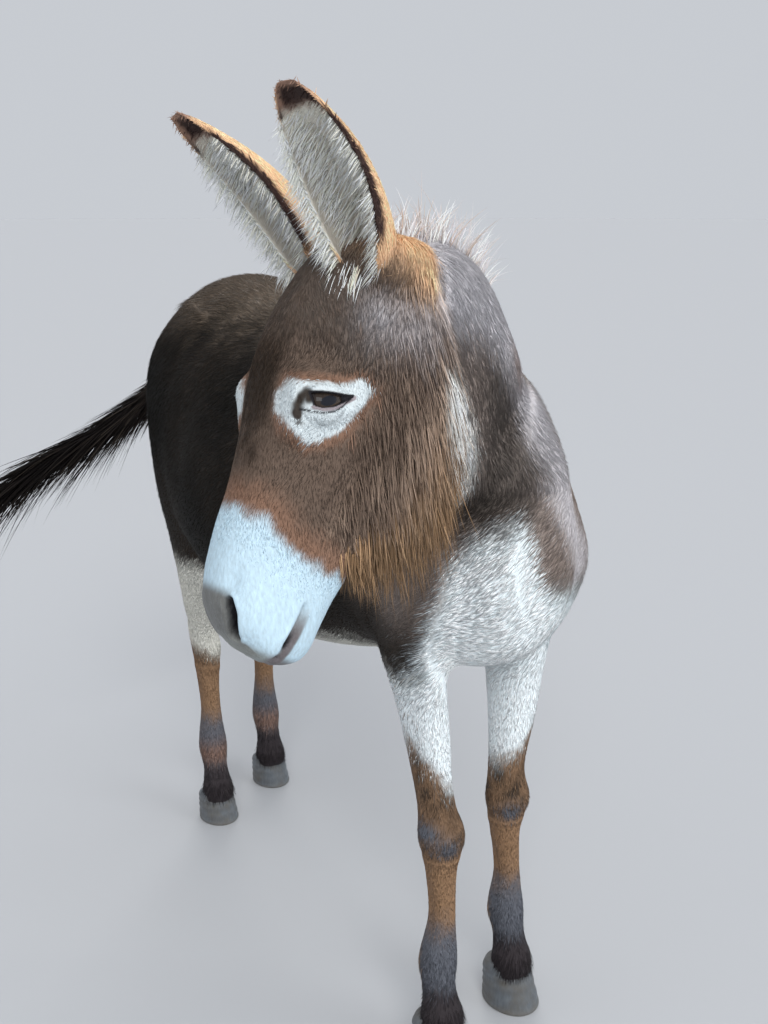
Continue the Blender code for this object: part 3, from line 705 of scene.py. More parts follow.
def side_signs(numbers):
    """What turns the left side's numbers into those of each point's own side."""
    return np.where(numbers[:, 2:] < 0, (1, 1, -1), (1, 1, 1))


def mirrored(numbers):
    """Head numbers with both sides folded onto the left one."""
    return numbers * side_signs(numbers)


points, normals = points_of(skin), normals_of(skin)
folded = mirrored(head_numbers(points))
headed = on_the_head(points)
lift = np.zeros(len(points))
for centre, size, height in FACE_SWELLS:
    lift += spot(folded, centre, size) * height
nostril_gap = path_distance(folded, NOSTRIL_LINE)
mouth_gap = path_distance(folded, MOUTH_LINE)
lift -= NOSTRIL_DEPTH * fading(nostril_gap, NOSTRIL_WIDTH, 4)
lift += ROLL_HEIGHT * fading(nostril_gap - 0.0085, ROLL_WIDTH)
lift -= MOUTH_DEPTH * fading(mouth_gap, MOUTH_WIDTH)
lift += ROLL_HEIGHT * fading(mouth_gap - 0.0065, ROLL_WIDTH)
points = points + normals * (lift * headed)[:, None]
move_points(skin, points)

# %% [markdown]
# ## Eyelids
#
# An eyelid hugs the ball of the eye. Round each eye the skin is moved along the eye's
# own outward direction: on the lids it goes to a sphere a little larger than the ball,
# inside the opening it sinks behind the ball, and further out it fades back into the
# face. The upper edge slopes down to the outer corner, and a crease runs along each lid.

# %% Eye directions and the opening of the lids
EYE_LINE = Vector((0.031, 0.037, -0.007)).normalized()     # from outer to inner corner
EYE_OUT = Vector((0.080, 0.160, 0.984))
EYE_OUT = (EYE_OUT - EYE_LINE * EYE_OUT.dot(EYE_LINE)).normalized()
EYE_UP = EYE_OUT.cross(EYE_LINE)
EYE_AXES = np.array([EYE_LINE, EYE_UP, EYE_OUT])
LID_REACH = 0.042          # the skin is shaped this far round the ball's middle
LID_THICKNESS = 0.0026
BEHIND_BALL = 0.0075       # how deep the skin sinks inside the opening
OVER_BALL = 0.0030         # and how high it stays over the ball elsewhere
# Edges of the opening: place towards the nose, height above the ball's middle
UPPER_EDGE = [(-0.0260, -0.0008), (-0.0185, 0.0018), (-0.0080, 0.0060), (0.0010, 0.0092),
              (0.0095, 0.0112)]
LOWER_EDGE = [(-0.0260, -0.0014), (-0.0180, -0.0030), (-0.0050, -0.0042), (0.0040, -0.0028),
              (0.0095, 0.0002)]
LID_CREASE = [(0.0195, -0.0005), (0.0125, -0.0040), (0.0045, -0.0072), (-0.0055, -0.0084),
              (-0.0145, -0.0066), (-0.0235, -0.0028)]
INNER_CORNER = [(0.0125, 0.0065), (0.0115, 0.0122), (0.0165, 0.0092), (0.0210, 0.0040),
                (0.0228, -0.0025)]
TEAR_LINE = [(0.0228, -0.0025), (0.0232, -0.0105)]


def eye_numbers(folded):
    """Along the opening towards the nose, up, and outwards, from the ball's middle."""
    return (folded - np.array(EYE_PLACE)) @ EYE_AXES.T


def from_eye(numbers):
    """The head numbers that an array of eye numbers stands for."""
    return numbers @ EYE_AXES + np.array(EYE_PLACE)


def line_height(place, line):
    """The height at a place of a line that is drawn through a few points."""
    places, heights = np.array(line).T
    return np.interp(place, places, heights)


def opening_margin(numbers):
    """Distance outside the opening; below zero inside it."""
    along, up = numbers[:, :2].T
    margin = np.maximum(up - line_height(along, UPPER_EDGE),
                        line_height(along, LOWER_EDGE) - up)
    beyond = np.maximum(UPPER_EDGE[0][0] - along, along - UPPER_EDGE[-1][0])
    return np.where(beyond > 0, np.hypot(beyond, np.maximum(margin, 0.0)),
                    np.maximum(margin, beyond))


points = points_of(skin)
folded = mirrored(head_numbers(points))
eye = eye_numbers(folded)
near_eye = headed & (np.hypot(eye[:, 0], eye[:, 1]) < LID_REACH) & (eye[:, 2] > -0.010)
margin = opening_margin(eye)
flat_square = eye[:, 0] ** 2 + eye[:, 1] ** 2
on_lid = np.sqrt((EYE_RADIUS + LID_THICKNESS) ** 2
                 - np.minimum(flat_square, (EYE_RADIUS * 0.97) ** 2))
lid_fold = 0.0012 * fading(margin - 0.0085, 0.0018) * (eye[:, 1] > 0.002)
lid_fold += 0.0014 * fading(path_distance(eye[:, :2], LID_CREASE), 0.0011)
lid_fold += 0.0016 * fading(path_distance(eye[:, :2], INNER_CORNER), 0.0040)
lid_edge = 0.0009 * fading(margin - 0.0012, 0.0010)
hidden = EYE_RADIUS - BEHIND_BALL
target = on_lid + lid_edge - lid_fold
target = np.where(margin < 0.0, hidden + (target - hidden) * rise(margin, -0.0012, 0.0), target)
fade = 1.0 - rise(margin, 0.0070, 0.0200)
moved = eye.copy()
moved[:, 2] += (target - eye[:, 2]) * fade
over_ball = np.sqrt(np.maximum(EYE_RADIUS ** 2 - flat_square, 0.0)) + OVER_BALL
over_ball = np.where((margin > 0.0030) & (flat_square < EYE_RADIUS ** 2), over_ball, -1.0)
moved[:, 2] = np.maximum(moved[:, 2], over_ball)
new_points = from_head(from_eye(moved) * side_signs(head_numbers(points)))
points = np.where(near_eye[:, None], new_points, points)
move_points(skin, points)
print("lid points moved:", int(near_eye.sum()))

# %% [markdown]
# ## Room for the coat
#
# The solids reach to the tips of the hair, so the skin lies inside them by the depth of
# the coat: much on the shaggy trunk, little on the legs, and almost nothing on the
# muzzle and the lids.

# %% Coat depth


def coat_depth(points, folded, headed):
    depth = 0.0035 + 0.0035 * rise(points[:, 2], 0.36, 0.55)
    cheek = rise(folded[:, 1], 0.00, -0.07)
    face = 0.0020 + 0.0030 * cheek
    face = face * rise(folded[:, 0], 0.262, 0.225) + 0.0004
    face = face * (0.15 + 0.85 * rise(opening_margin(eye_numbers(folded)), 0.004, 0.026))
    depth = np.where(headed, face, depth)
    return np.where(points[:, 2] < 0.27, 0.0020, depth)


points, normals = points_of(skin), normals_of(skin)
folded = mirrored(head_numbers(points))
eye_safe = rise(opening_margin(eye_numbers(folded)), 0.008, 0.022)
eye_safe = np.where(near_eye, eye_safe, 1.0)
depth = coat_depth(points, folded, headed) * eye_safe
move_points(skin, points - normals * depth[:, None])
skin_points, skin_normals = points_of(skin), normals_of(skin)
skin_triangles = triangles_of(skin)
skin_folded = mirrored(head_numbers(skin_points))
print("skin triangles:", len(skin_triangles))

# %% [markdown]
# ## Ears
#
# A donkey's ear is a tall cup, rolled into a tube at its foot. Rings are drawn across
# it as arcs that open and narrow towards the tip, once for the outside and once, a wall's
# thickness further in, for the inside. Each point remembers where on the ear it is.

# %% Ears
EAR_WALL = 0.0045
EAR_ROOT = (0.004, 0.014, 0.044)
EAR_FORWARD = 0.97
EAR_SIDES = 26
# length, lean along the head, above its axis and to the left, how far the cup faces out
EARS = {
    "left": (0.181, (-0.325, 0.84, 0.40), 0.20),
    "right": (0.193, (-0.27, 0.95, -0.05), -0.07),
}
# share of the length, half width, wrap in half turns, depth share
EAR_STATIONS = [
    (0.00, 0.0230, 1.60, 1.00),
    (0.12, 0.0285, 1.48, 0.92),
    (0.28, 0.0335, 1.30, 0.80),
    (0.46, 0.0350, 1.14, 0.72),
    (0.64, 0.0325, 1.06, 0.66),
    (0.80, 0.0262, 1.02, 0.60),
    (0.92, 0.0190, 0.98, 0.52),
    (1.00, 0.0100, 0.90, 0.42),
]
EAR_INSET = 0.0012


def ear_shape(side_name):
    """Outer and inner grids of points, and the ear's axis, facing and side directions."""
    side = SIDES[side_name]
    length, lean, outwards = EARS[side_name]
    along, above, out = EAR_ROOT
    base = np.array(on_head(along, above, side * out))
    axis = (ALONG * lean[0] + BROW * lean[1] + HEAD_LEFT * lean[2]).normalized()
    opening = ALONG * EAR_FORWARD + HEAD_LEFT * (side * outwards)
    facing = (opening - axis * opening.dot(axis)).normalized()
    across = axis.cross(facing)
    axis, facing, across = np.array(axis), np.array(facing), np.array(across)
    outer, inner = [], []
    for share, width, wrap, depth in smooth_between(EAR_STATIONS, 7):
        centre = base + axis * share * length
        centre = centre - facing * (0.006 * math.sin(math.pi * share))
        angle = math.pi * wrap * (np.arange(EAR_SIDES + 1) / EAR_SIDES - 0.5)
        wall = EAR_WALL * (1.0 - 0.45 * share)
        ridge = 0.0009 * np.cos(angle * 5.0) * math.sin(math.pi * share)
        for rows, reach in ((outer, width - EAR_INSET), (inner, width - wall + ridge)):
            sideways = (np.sin(angle) * reach)[:, None] * across
            backward = (-np.cos(angle) * depth * reach)[:, None] * facing
            rows.append(centre + sideways + backward)
    return np.array(outer), np.array(inner), axis, facing, across


def ear_mesh(outer, inner):
    """A closed shell through both grids; shares of length and width are kept per point."""
    rows, columns = outer.shape[:2]
    rings = [np.vstack([outer[row], inner[row][::-1]]) for row in range(rows)]
    count = 2 * columns
    faces = bands(rows, count)
    for row in (0, rows - 1):
        for index in range(columns - 1):
            start = row * count
            faces.append((start + index, start + index + 1, start + count - 2 - index,
                          start + count - 1 - index))
    mesh = mesh_of("ear", np.vstack(rings), faces)
    share = np.repeat(np.linspace(0.0, 1.0, rows), count)
    line = np.linspace(-1.0, 1.0, columns)
    spread = np.tile(np.concatenate([line, line[::-1]]), rows)
    inside = np.tile(np.repeat([0.0, 1.0], columns), rows)
    return mesh, share, spread, inside


ears = {side_name: ear_shape(side_name) for side_name in SIDES}
ear_meshes = {side_name: ear_mesh(*ears[side_name][:2]) for side_name in SIDES}
print("ear grid:", ears["left"][0].shape)

# %% [markdown]
# ## Markings
#
# Skin and hair carry the same markings, so the colour is worked out by one function of
# place and stored on every point of the skin and at the root of every tuft. The coat is
# chocolate with a grey neck, a white muzzle, eye rings, breast and inner legs, and orange
# ears. The cannons are tan and turn slate, down to nearly black coronets.

# %% Colours of the coat, as linear red, green and blue
DARK_BROWN = (0.0075, 0.0065, 0.0050)
CHOCOLATE = (0.036, 0.027, 0.021)
BACK_BROWN = (0.170, 0.130, 0.096)
SILVER = (0.300, 0.270, 0.240)
NECK_GREY = (0.570, 0.548, 0.572)
NECK_BROWN = (0.240, 0.195, 0.172)
THROAT_GREY = (0.100, 0.085, 0.076)
# painted light: WHITE, MUZZLE_WHITE and RING_WHITE carry a blue cast of cool skylight, and the
# muzzle's and the ring's whites are painted darker than the breast's because more light falls on
# the bare face than into the hair
WHITE = (0.800, 0.880, 0.915)
MUZZLE_WHITE = (0.520, 0.680, 0.785)
RING_WHITE = (0.640, 0.705, 0.730)
BELLY_WHITE = (0.660, 0.650, 0.590)
FACE_BROWN = (0.135, 0.096, 0.074)
FOREHEAD_GREY = (0.105, 0.088, 0.077)
NOSE_BROWN = (0.034, 0.023, 0.016)
CHEEK_TAN = (0.430, 0.315, 0.240)
THROAT_BROWN = (0.055, 0.037, 0.024)
RUSSET = (0.255, 0.142, 0.094)
CREAM = (0.820, 0.815, 0.780)
LIP_GREY = (0.250, 0.265, 0.250)
NOSE_GREY = (0.160, 0.164, 0.160)
MOUTH_GREY = (0.150, 0.135, 0.142)
LID_PINK = (0.330, 0.290, 0.310)
CORNER_BROWN = (0.045, 0.036, 0.030)
BARE_DARK = (0.014, 0.013, 0.016)
GINGER = (0.350, 0.220, 0.124)
EAR_ORANGE = (0.860, 0.550, 0.330)
EAR_BROWN = (0.340, 0.210, 0.155)
EAR_DARK = (0.045, 0.027, 0.024)
EAR_CREAM = (0.800, 0.790, 0.710)
EAR_FLESH = (0.420, 0.340, 0.290)
KNEE_BROWN = (0.195, 0.120, 0.072)
CANNON_TAN = (0.280, 0.168, 0.095)
SLATE = (0.105, 0.112, 0.132)
CORONET_DARK = (0.038, 0.032, 0.035)

# %% Lines that the markings follow
NECK_CUT = ((-0.030, -0.330, 0.780), (-0.62, -0.60, 0.50))    # where the neck begins
LEFT_BAND = [(-0.160, -0.455, 0.925), (-0.100, -0.420, 0.905), (-0.040, -0.392, 0.855),
             (0.002, -0.385, 0.800), (0.016, -0.400, 0.745), (0.040, -0.408, 0.680),
             (0.066, -0.388, 0.615)]
RIGHT_BAND = [(-0.100, -0.300, 0.860), (-0.132, -0.310, 0.780), (-0.150, -0.315, 0.680),
              (-0.146, -0.320, 0.600)]
THROAT_LINE = [(-0.060, -0.410, 0.830), (-0.045, -0.400, 0.765), (-0.052, -0.415, 0.705)]
THROAT_STRIPE = [(-0.136, -0.450, 0.820), (-0.116, -0.430, 0.785), (-0.106, -0.421, 0.752),
                 (-0.112, -0.414, 0.716)]
CALLUSES = {"foreleg_right": [(-0.099, -0.345, 0.306), (-0.083, -0.366, 0.290)],
            "foreleg_left": [(0.036, -0.328, 0.284)]}
BREAST_TOP = [(-0.150, 0.540), (-0.125, 0.585), (-0.102, 0.637), (-0.087, 0.656),
              (-0.060, 0.668), (-0.035, 0.680), (-0.022, 0.666), (-0.012, 0.632),
              (0.000, 0.600), (0.060, 0.578)]
HIND_WHITE_DROP = 0.075
TEMPLE_LINE = [(-0.030, -0.070, 0.024), (-0.010, -0.058, 0.040), (0.030, -0.036, 0.062),
               (0.042, -0.004, 0.066)]
WHITE_ENDS = [(-1.30, 0.326), (-0.90, 0.340), (0.00, 0.362), (0.45, 0.385), (0.83, 0.419),
              (1.07, 0.470), (1.20, 0.600)]   # how far out on the leg, height where white ends
JAW_STRIPE = [(0.050, -0.096, 0.052), (0.098, -0.134, 0.050), (0.150, -0.158, 0.040)]

# %% Colour of the trunk and the front


def beyond(points, cut):
    """How far points lie beyond a flat cut, given by a place and a direction."""
    place, direction = cut
    return (points - np.array(place)) @ np.array(direction)


def trunk_colour(points):
    x, y, z = points.T
    across = np.abs(x - FRONT_LEAN * rise(y, 0.0, -0.25))
    fine = ripple(points, 0.045)
    broad = ripple(points, 0.21, 1.0)
    colour = mixed(DARK_BROWN, CHOCOLATE, 0.8 * rise(fine * 0.25 + broad, -0.9, 1.1))
    # partly painted highlight: the top of the back is brown hair painted lighter where light falls
    # on it from above
    colour = mixed(colour, BACK_BROWN, 0.75 * rise(z + 0.020 * fine, 0.800, 0.880))
    # grey streaks of hair towards the rump, painted brighter as sheen
    streak = rise(ripple(points * (1.0, 3.0, 1.0), 0.060, 2.0), 0.25, 0.85)
    colour = mixed(colour, SILVER, 0.55 * streak * rise(z, 0.835, 0.885) * rise(y, 0.02, 0.12))
    colour = mixed(colour, CHOCOLATE, 0.6 * rise(z, 0.56, 0.50))
    belly = rise(z + 0.012 * fine, 0.505, 0.455) * rise(across, 0.185, 0.120)
    colour = mixed(colour, BELLY_WHITE, belly)
    groin = rise(z, 0.560, 0.500) * rise(across, 0.120, 0.070) * rise(y, 0.10, 0.20)
    return mixed(colour, BELLY_WHITE, groin)


def front_colour(points, colour):
    """Neck, shoulder band and breast, laid over the trunk's colour."""
    x, y, z = points.T
    fine = ripple(points, 0.040, 3.0)
    colour = mixed(colour, NECK_BROWN,
                   rise(y + 0.03 * fine, -0.180, -0.350) * rise(z, 0.52, 0.64))
    neck = rise(beyond(points, NECK_CUT), -0.080, 0.060)
    colour = mixed(colour, NECK_BROWN, neck)
    crest = rise(z + 0.40 * (y + 0.33) + 0.010 * fine, 0.810, 0.870)
    colour = mixed(colour, NECK_GREY, neck * crest * 0.9)
    for line, width, tint in ((THROAT_LINE, 0.044, THROAT_GREY), (LEFT_BAND, 0.031, NECK_GREY),
                              (RIGHT_BAND, 0.034, NECK_BROWN)):
        share = fading(path_distance(points, line) + 0.004 * fine, width, 4)
        colour = mixed(colour, tint, share * (0.85 + 0.15 * fine))
    # a dark patch low on the right of the neck: partly dark hair, partly painted shade on the
    # shaded right side of the breast
    colour = mixed(colour, DARK_BROWN, 0.8 * spot(points, (-0.082, -0.410, 0.700),
                                                  (0.034, 0.040, 0.028)))
    colour = mixed(colour, RUSSET, 0.7 * spot(points, (-0.030, -0.385, 0.842),
                                              (0.018, 0.020, 0.022)))
    stripe = path_distance(points, THROAT_STRIPE) + 0.002 * fine
    colour = mixed(colour, CREAM, fading(stripe, 0.0135, 4))
    top = line_height(x, BREAST_TOP) + 0.009 * fine
    breast = rise(z - top, 0.022, -0.024) * rise(y, -0.290, -0.345)
    across = np.abs(x - FRONT_LEAN) * np.where(x < FRONT_LEAN, 1.16, 1.0) + 0.008 * fine
    return mixed(colour, WHITE, breast * rise(across, 0.128, 0.092))


# %% Colour of the legs


def leg_colour(points, colour):
    """White inside and in front above the knees, tan and slate below them."""
    z = points[:, 2]
    fine = ripple(points, 0.030, 5.0)
    for name, stations in legs.items():
        side = -1 if name.endswith("right") else 1
        axis_x, axis_y = leg_axis(stations, z)
        outward = side * (points[:, 0] - axis_x) / 0.030
        forward = (axis_y - points[:, 1]) / 0.030
        reach = np.hypot(points[:, 0] - axis_x, points[:, 1] - axis_y)
        fore = name.startswith("fore")
        here = rise(reach, 0.100 if fore else 0.130, 0.070 if fore else 0.100)
        here = here * rise(z, 0.50, 0.46)
        brown = mixed(KNEE_BROWN, CHOCOLATE, rise(fine, -0.4, 0.8))
        white_end = line_height(outward if fore else outward * 0.4, WHITE_ENDS)
        white_end = white_end - (0.0 if fore else HIND_WHITE_DROP)
        paint = mixed(brown, WHITE if fore else BELLY_WHITE,
                      rise(z + 0.008 * fine - white_end, -0.014, 0.018))
        paint = mixed(paint, CANNON_TAN, rise(z, 0.300, 0.262) * (0.75 + 0.25 * fine))
        paint = mixed(paint, SLATE, rise(z + 0.010 * fine, 0.205, 0.150))
        if fore:
            for callus in CALLUSES[name]:
                worn = np.clip(1.6 * spot(points, callus, (0.011, 0.020, 0.010)), 0.0, 1.0)
                paint = mixed(paint, SLATE, worn)
            feather = spot(points, (0.0, 0.0, 0.122), (9.0, 9.0, 0.022))
            paint = mixed(paint, GINGER, feather * rise(forward, -0.2, -0.7))
        else:
            paint = mixed(paint, RUSSET, 0.7 * spot(points, (0.0, 0.0, 0.118), (9.0, 9.0, 0.020)))
            paint = mixed(paint, RUSSET, 0.6 * rise(z, 0.19, 0.27) * rise(forward, 0.1, -0.6)
                          * rise(z, 0.34, 0.28))
        paint = mixed(paint, CORONET_DARK, rise(z + 0.006 * fine, 0.112, 0.088))
        colour = mixed(colour, paint, here)
    return colour


# %% Colour of the head


def muzzle_border(above):
    """How far along the head the white of the muzzle begins."""
    return 0.241 + 0.018 * rise(above, 0.016, -0.036)


# Outline of the white ring round the eye, in the eye's own numbers
RING = np.array([(0.034, 0.002), (0.030, 0.015), (0.0184, 0.0261), (0.0106, 0.0215),
                 (-0.0030, 0.0170), (-0.0257, 0.0110), (-0.0427, 0.0120), (-0.050, 0.001),
                 (-0.030, -0.014), (-0.016, -0.026), (-0.002, -0.030), (0.018, -0.030),
                 (0.030, -0.014)])


def ring_gap(folded):
    """How far each point lies outside the white ring round the eye; below zero inside."""
    flat = eye_numbers(folded)[:, :2]
    inside = np.zeros(len(flat), bool)
    for (u1, v1), (u2, v2) in zip(RING, np.roll(RING, -1, axis=0)):
        if v1 != v2:
            crossing = u1 + (flat[:, 1] - v1) * (u2 - u1) / (v2 - v1)
            inside ^= ((v1 > flat[:, 1]) != (v2 > flat[:, 1])) & (flat[:, 0] < crossing)
    gap = path_distance(flat, [*RING, RING[0]])
    return np.where(inside, -gap, gap)


def head_colour(points, folded):
    along, above, out = folded.T
    fine = ripple(points, 0.022, 7.0)
    streaks = ripple(points * (3.0, 3.0, 0.6), 0.050, 8.0)
    colour = mixed(FACE_BROWN, CHEEK_TAN, 0.8 * rise(above + 0.012 * fine, -0.030, -0.090)
                   * rise(streaks, -0.6, 0.7))
    forehead = rise(along, 0.115, 0.060) * rise(above, -0.030, 0.010)
    colour = mixed(colour, FOREHEAD_GREY, forehead * (0.55 + 0.35 * fine))
    colour = mixed(colour, NOSE_BROWN, rise(above + 0.006 * fine, 0.030, 0.048)
                   * rise(along, 0.060, 0.120) * rise(out, 0.042, 0.022))
    colour = mixed(colour, THROAT_BROWN, 0.8 * rise(above, -0.105, -0.140)
                   * rise(out, 0.050, 0.020))
    temple = fading(path_distance(folded, TEMPLE_LINE), 0.024)
    colour = mixed(colour, NECK_GREY, temple * (0.45 + 0.20 * fine))
    stripe = fading(path_distance(folded, JAW_STRIPE), 0.019, 4)
    colour = mixed(colour, CREAM, stripe * rise(streaks + fine, -1.5, -0.5))
    behind_ear = spot(folded, (-0.022, -0.015, 0.052), (0.022, 0.040, 0.030))
    colour = mixed(colour, EAR_ORANGE, np.clip(1.5 * behind_ear, 0.0, 1.0))
    ring = ring_gap(folded) + 0.0012 * fine
    colour = mixed(colour, RUSSET, 0.75 * rise(ring, 0.012, 0.002) * rise(out, 0.030, 0.045))
    colour = mixed(colour, RING_WHITE, rise(ring, 0.0018, -0.0018) * rise(out, 0.030, 0.040))
    gap = along + 0.004 * fine - muzzle_border(above)
    colour = mixed(colour, RUSSET, 0.75 * rise(gap, -0.040, -0.010))
    return mixed(colour, MUZZLE_WHITE, rise(gap, -0.009, 0.006))


# %% Colour of the whole coat and of the ears


def coat_colour(points):
    """The colour of the hair that grows at each point, for all but the ears."""
    folded = mirrored(head_numbers(points))
    colour = trunk_colour(points)
    colour = front_colour(points, colour)
    colour = leg_colour(points, colour)
    headed = rise(head_side(folded), -0.012, 0.012)
    headed = headed * on_the_head(points, -0.020)
    return mixed(colour, head_colour(points, folded), headed)


def ear_colour(share, spread, inside, points):
    fine = ripple(points, 0.016, 9.0)
    edge = np.abs(spread) + 0.04 * fine
    tip = share + 0.03 * fine
    colour = mixed(EAR_ORANGE, EAR_BROWN, rise(tip, 0.80, 0.95))
    colour = mixed(colour, FOREHEAD_GREY, 0.6 * rise(share, 0.16, 0.02))
    inner = mixed(EAR_CREAM, EAR_BROWN, rise(tip, 0.70, 0.80))
    patch = rise(tip, 0.74, 0.81) * rise(tip, 0.96, 0.90)
    patch = patch * np.where(spread < 0, rise(edge, 0.85, 0.60), rise(edge, 1.0, 0.92))
    inner = mixed(inner, EAR_DARK, patch)
    colour = mixed(colour, inner, inside)
    rim = rise(edge, 0.80, 0.90) * rise(share, 0.10, 0.25)
    near_rim = rim * (spread < 0) * rise(tip, 0.74, 0.66)
    colour = mixed(colour, EAR_CREAM, near_rim)
    return mixed(colour, EAR_DARK, (rim - near_rim) * rise(tip, 0.84, 0.72))


# %% [markdown]
# ## Skin colour
#
# Where hair is short the skin shows through: dark at the edges of the upper lids and
# greyish on the lips, with a dark line along each lower lid's crease and between the
# lips. Painted shade darkens the inside of the nostrils and the thin line between each
# ball and its lower lid, and deepens the dark bare skin of the eyes' inner corners. Under
# the hair the skin is painted a little darker as shade. A mask of bare skin is stored
# too, because bare skin is smoother and a little wet.

# %% Colours stored on the skin


def skin_look(points, folded):
    """Colour and bareness of the skin itself."""
    colour = coat_colour(points)
    along, above, out = folded.T
    headed = on_the_head(points)
    eye = eye_numbers(folded)
    flat = eye[:, :2]
    margin = opening_margin(eye)
    by_eye = headed & (np.hypot(*flat.T) < 0.045) & (eye[:, 2] > -0.002)
    below = by_eye * rise(eye[:, 1] - line_height(eye[:, 0], LOWER_EDGE), 0.0006, 0.0)
    # painted shade: the eye's inner corner is dark bare skin, painted darker still as the shade in
    # its hollow
    corner = by_eye * fading(path_distance(flat, INNER_CORNER), 0.0042, 4)
    tear = by_eye * fading(path_distance(flat, TEAR_LINE), 0.0030, 4)
    crease = by_eye * fading(path_distance(flat, LID_CREASE), 0.0010)
    lid = by_eye * rise(margin, 0.0020, 0.0012)
    front_nose = headed * rise(along, 0.302, 0.314) * rise(out, 0.0315, 0.0285)
    front_nose = front_nose * rise(above, -0.045, -0.034)
    lips = headed * rise(mouth_gap, 0.0090, 0.0050) * rise(along, 0.285, 0.325)
    lips = lips * rise(above, -0.0500, -0.0560) + headed * 0.9 * rise(along, 0.338, 0.348)
    # the upper lid's dark edge is the skin's own; the thin dark line at the lower lid's edge is
    # painted shadow between lid and ball
    rims = by_eye * np.where(below > 0.5, rise(margin, 0.0010, 0.0004),
                             rise(margin, 0.0022, 0.0012))
    for tint, share in ((NOSE_GREY, front_nose), (LIP_GREY, lips),
                        (MOUTH_GREY, lips * rise(above, -0.044, -0.050)),
                        (LID_PINK, below * rise(margin, 0.0036, 0.0028)),
                        (CORNER_BROWN, corner + 0.8 * tear), (BARE_DARK, crease + rims),
                        (BARE_DARK, headed * rise(mouth_gap, 0.0028, 0.0014)
                         * rise(along, 0.312, 0.326)),
                        # painted shade inside the nostril
                        (BARE_DARK, headed * rise(nostril_gap, 0.0062, 0.0044))):
        colour = mixed(colour, tint, np.clip(share, 0.0, 1.0))
    bare = lid + corner + below * rise(margin, 0.0040, 0.0030) + front_nose + lips
    bare = bare + headed * rise(nostril_gap, 0.0070, 0.0050)
    return colour, np.clip(bare, 0.0, 1.0)


def store_look(mesh, colour, bare):
    """Keeps what the skin's material reads."""
    store(mesh, "coat_colour", "FLOAT_COLOR", with_alpha(colour))
    store(mesh, "bare", "FLOAT", bare)


colour, bare = skin_look(skin_points, skin_folded)
# painted shade: the skin under the hair is painted a little darker, more on the body than on the
# head
shaded = np.where(on_the_head(skin_points), 0.97, 0.90)     # a little darker under the hair
store_look(skin, colour * np.maximum(shaded, bare)[:, None], bare)
for mesh, share, spread, inside in ear_meshes.values():
    tint = ear_colour(share, spread, inside, points_of(mesh))
    tint = mixed(tint, EAR_FLESH, 0.4 * inside * rise(share, 0.75, 0.60))
    store_look(mesh, tint, 0.4 * inside)

# %% [markdown]
# ## Materials for skin and hair
#
# One node group gives every strand its colour: it takes the stored marking, darkens it at
# the root as painted shade, bleaches the tip, varies it from tuft to tuft, and lifts it by a
# gain that is painted light. The same group serves the short coat, the face, the long
# locks and the beard, each with its own values.

# %% Node helpers


def add_node(tree, kind, inputs=None, **settings):
    """A new node, with its own settings and plain values for its inputs."""
    node = tree.nodes.new(kind)
    for label, value in settings.items():
        setattr(node, label, value)
    for label, value in (inputs or {}).items():
        node.inputs[label].default_value = value
    return node


def link_all(tree, pairs):
    for source, target in pairs:
        tree.links.new(source, target)


def feed(tree, sockets, values):
    """Each socket gets a plain value, or a link where the value is another socket."""
    for socket, value in zip(sockets, values):
        if isinstance(value, bpy.types.NodeSocket):
            tree.links.new(value, socket)
        else:
            socket.default_value = value


def named_input(tree, name, kind):
    node = add_node(tree, "ShaderNodeAttribute", attribute_type="GEOMETRY",
                    attribute_name=name)
    return node.outputs["Color" if kind == "colour" else "Fac"]


def mix_colours(tree, first, second, factor, blend_type="MIX"):
    node = add_node(tree, "ShaderNodeMix", data_type="RGBA", blend_type=blend_type)
    feed(tree, [node.inputs[number] for number in (6, 7, 0)], (first, second, factor))
    return node.outputs[2]


def reckon(tree, operation, *values, clamp=False):
    node = add_node(tree, "ShaderNodeMath", operation=operation, use_clamp=clamp)
    feed(tree, node.inputs, values)
    return node.outputs[0]


def scaled(tree, vector, factor):
    node = add_node(tree, "ShaderNodeVectorMath", operation="SCALE")
    link_all(tree, [(vector, node.inputs[0]), (factor, node.inputs["Scale"])])
    return node.outputs[0]


# %% The hair tone group


def group_with(name, inputs, outputs):
    """An empty shader group with named sockets; returns it with its two end nodes."""
    tree = bpy.data.node_groups.new(name, "ShaderNodeTree")
    for label, kind, value in inputs:
        socket = tree.interface.new_socket(label, in_out="INPUT", socket_type=kind)
        if value is not None:
            socket.default_value = value
    for label, kind in outputs:
        tree.interface.new_socket(label, in_out="OUTPUT", socket_type=kind)
    return tree, add_node(tree, "NodeGroupInput"), add_node(tree, "NodeGroupOutput")


COLOUR_SOCKET, VALUE_SOCKET = "NodeSocketColor", "NodeSocketFloat"
PALEST_HAIR = (0.92, 0.935, 0.945)
BLEACHED_HAIR = (0.62, 0.50, 0.38, 1.0)
BLACK = (0.0, 0.0, 0.0, 1.0)


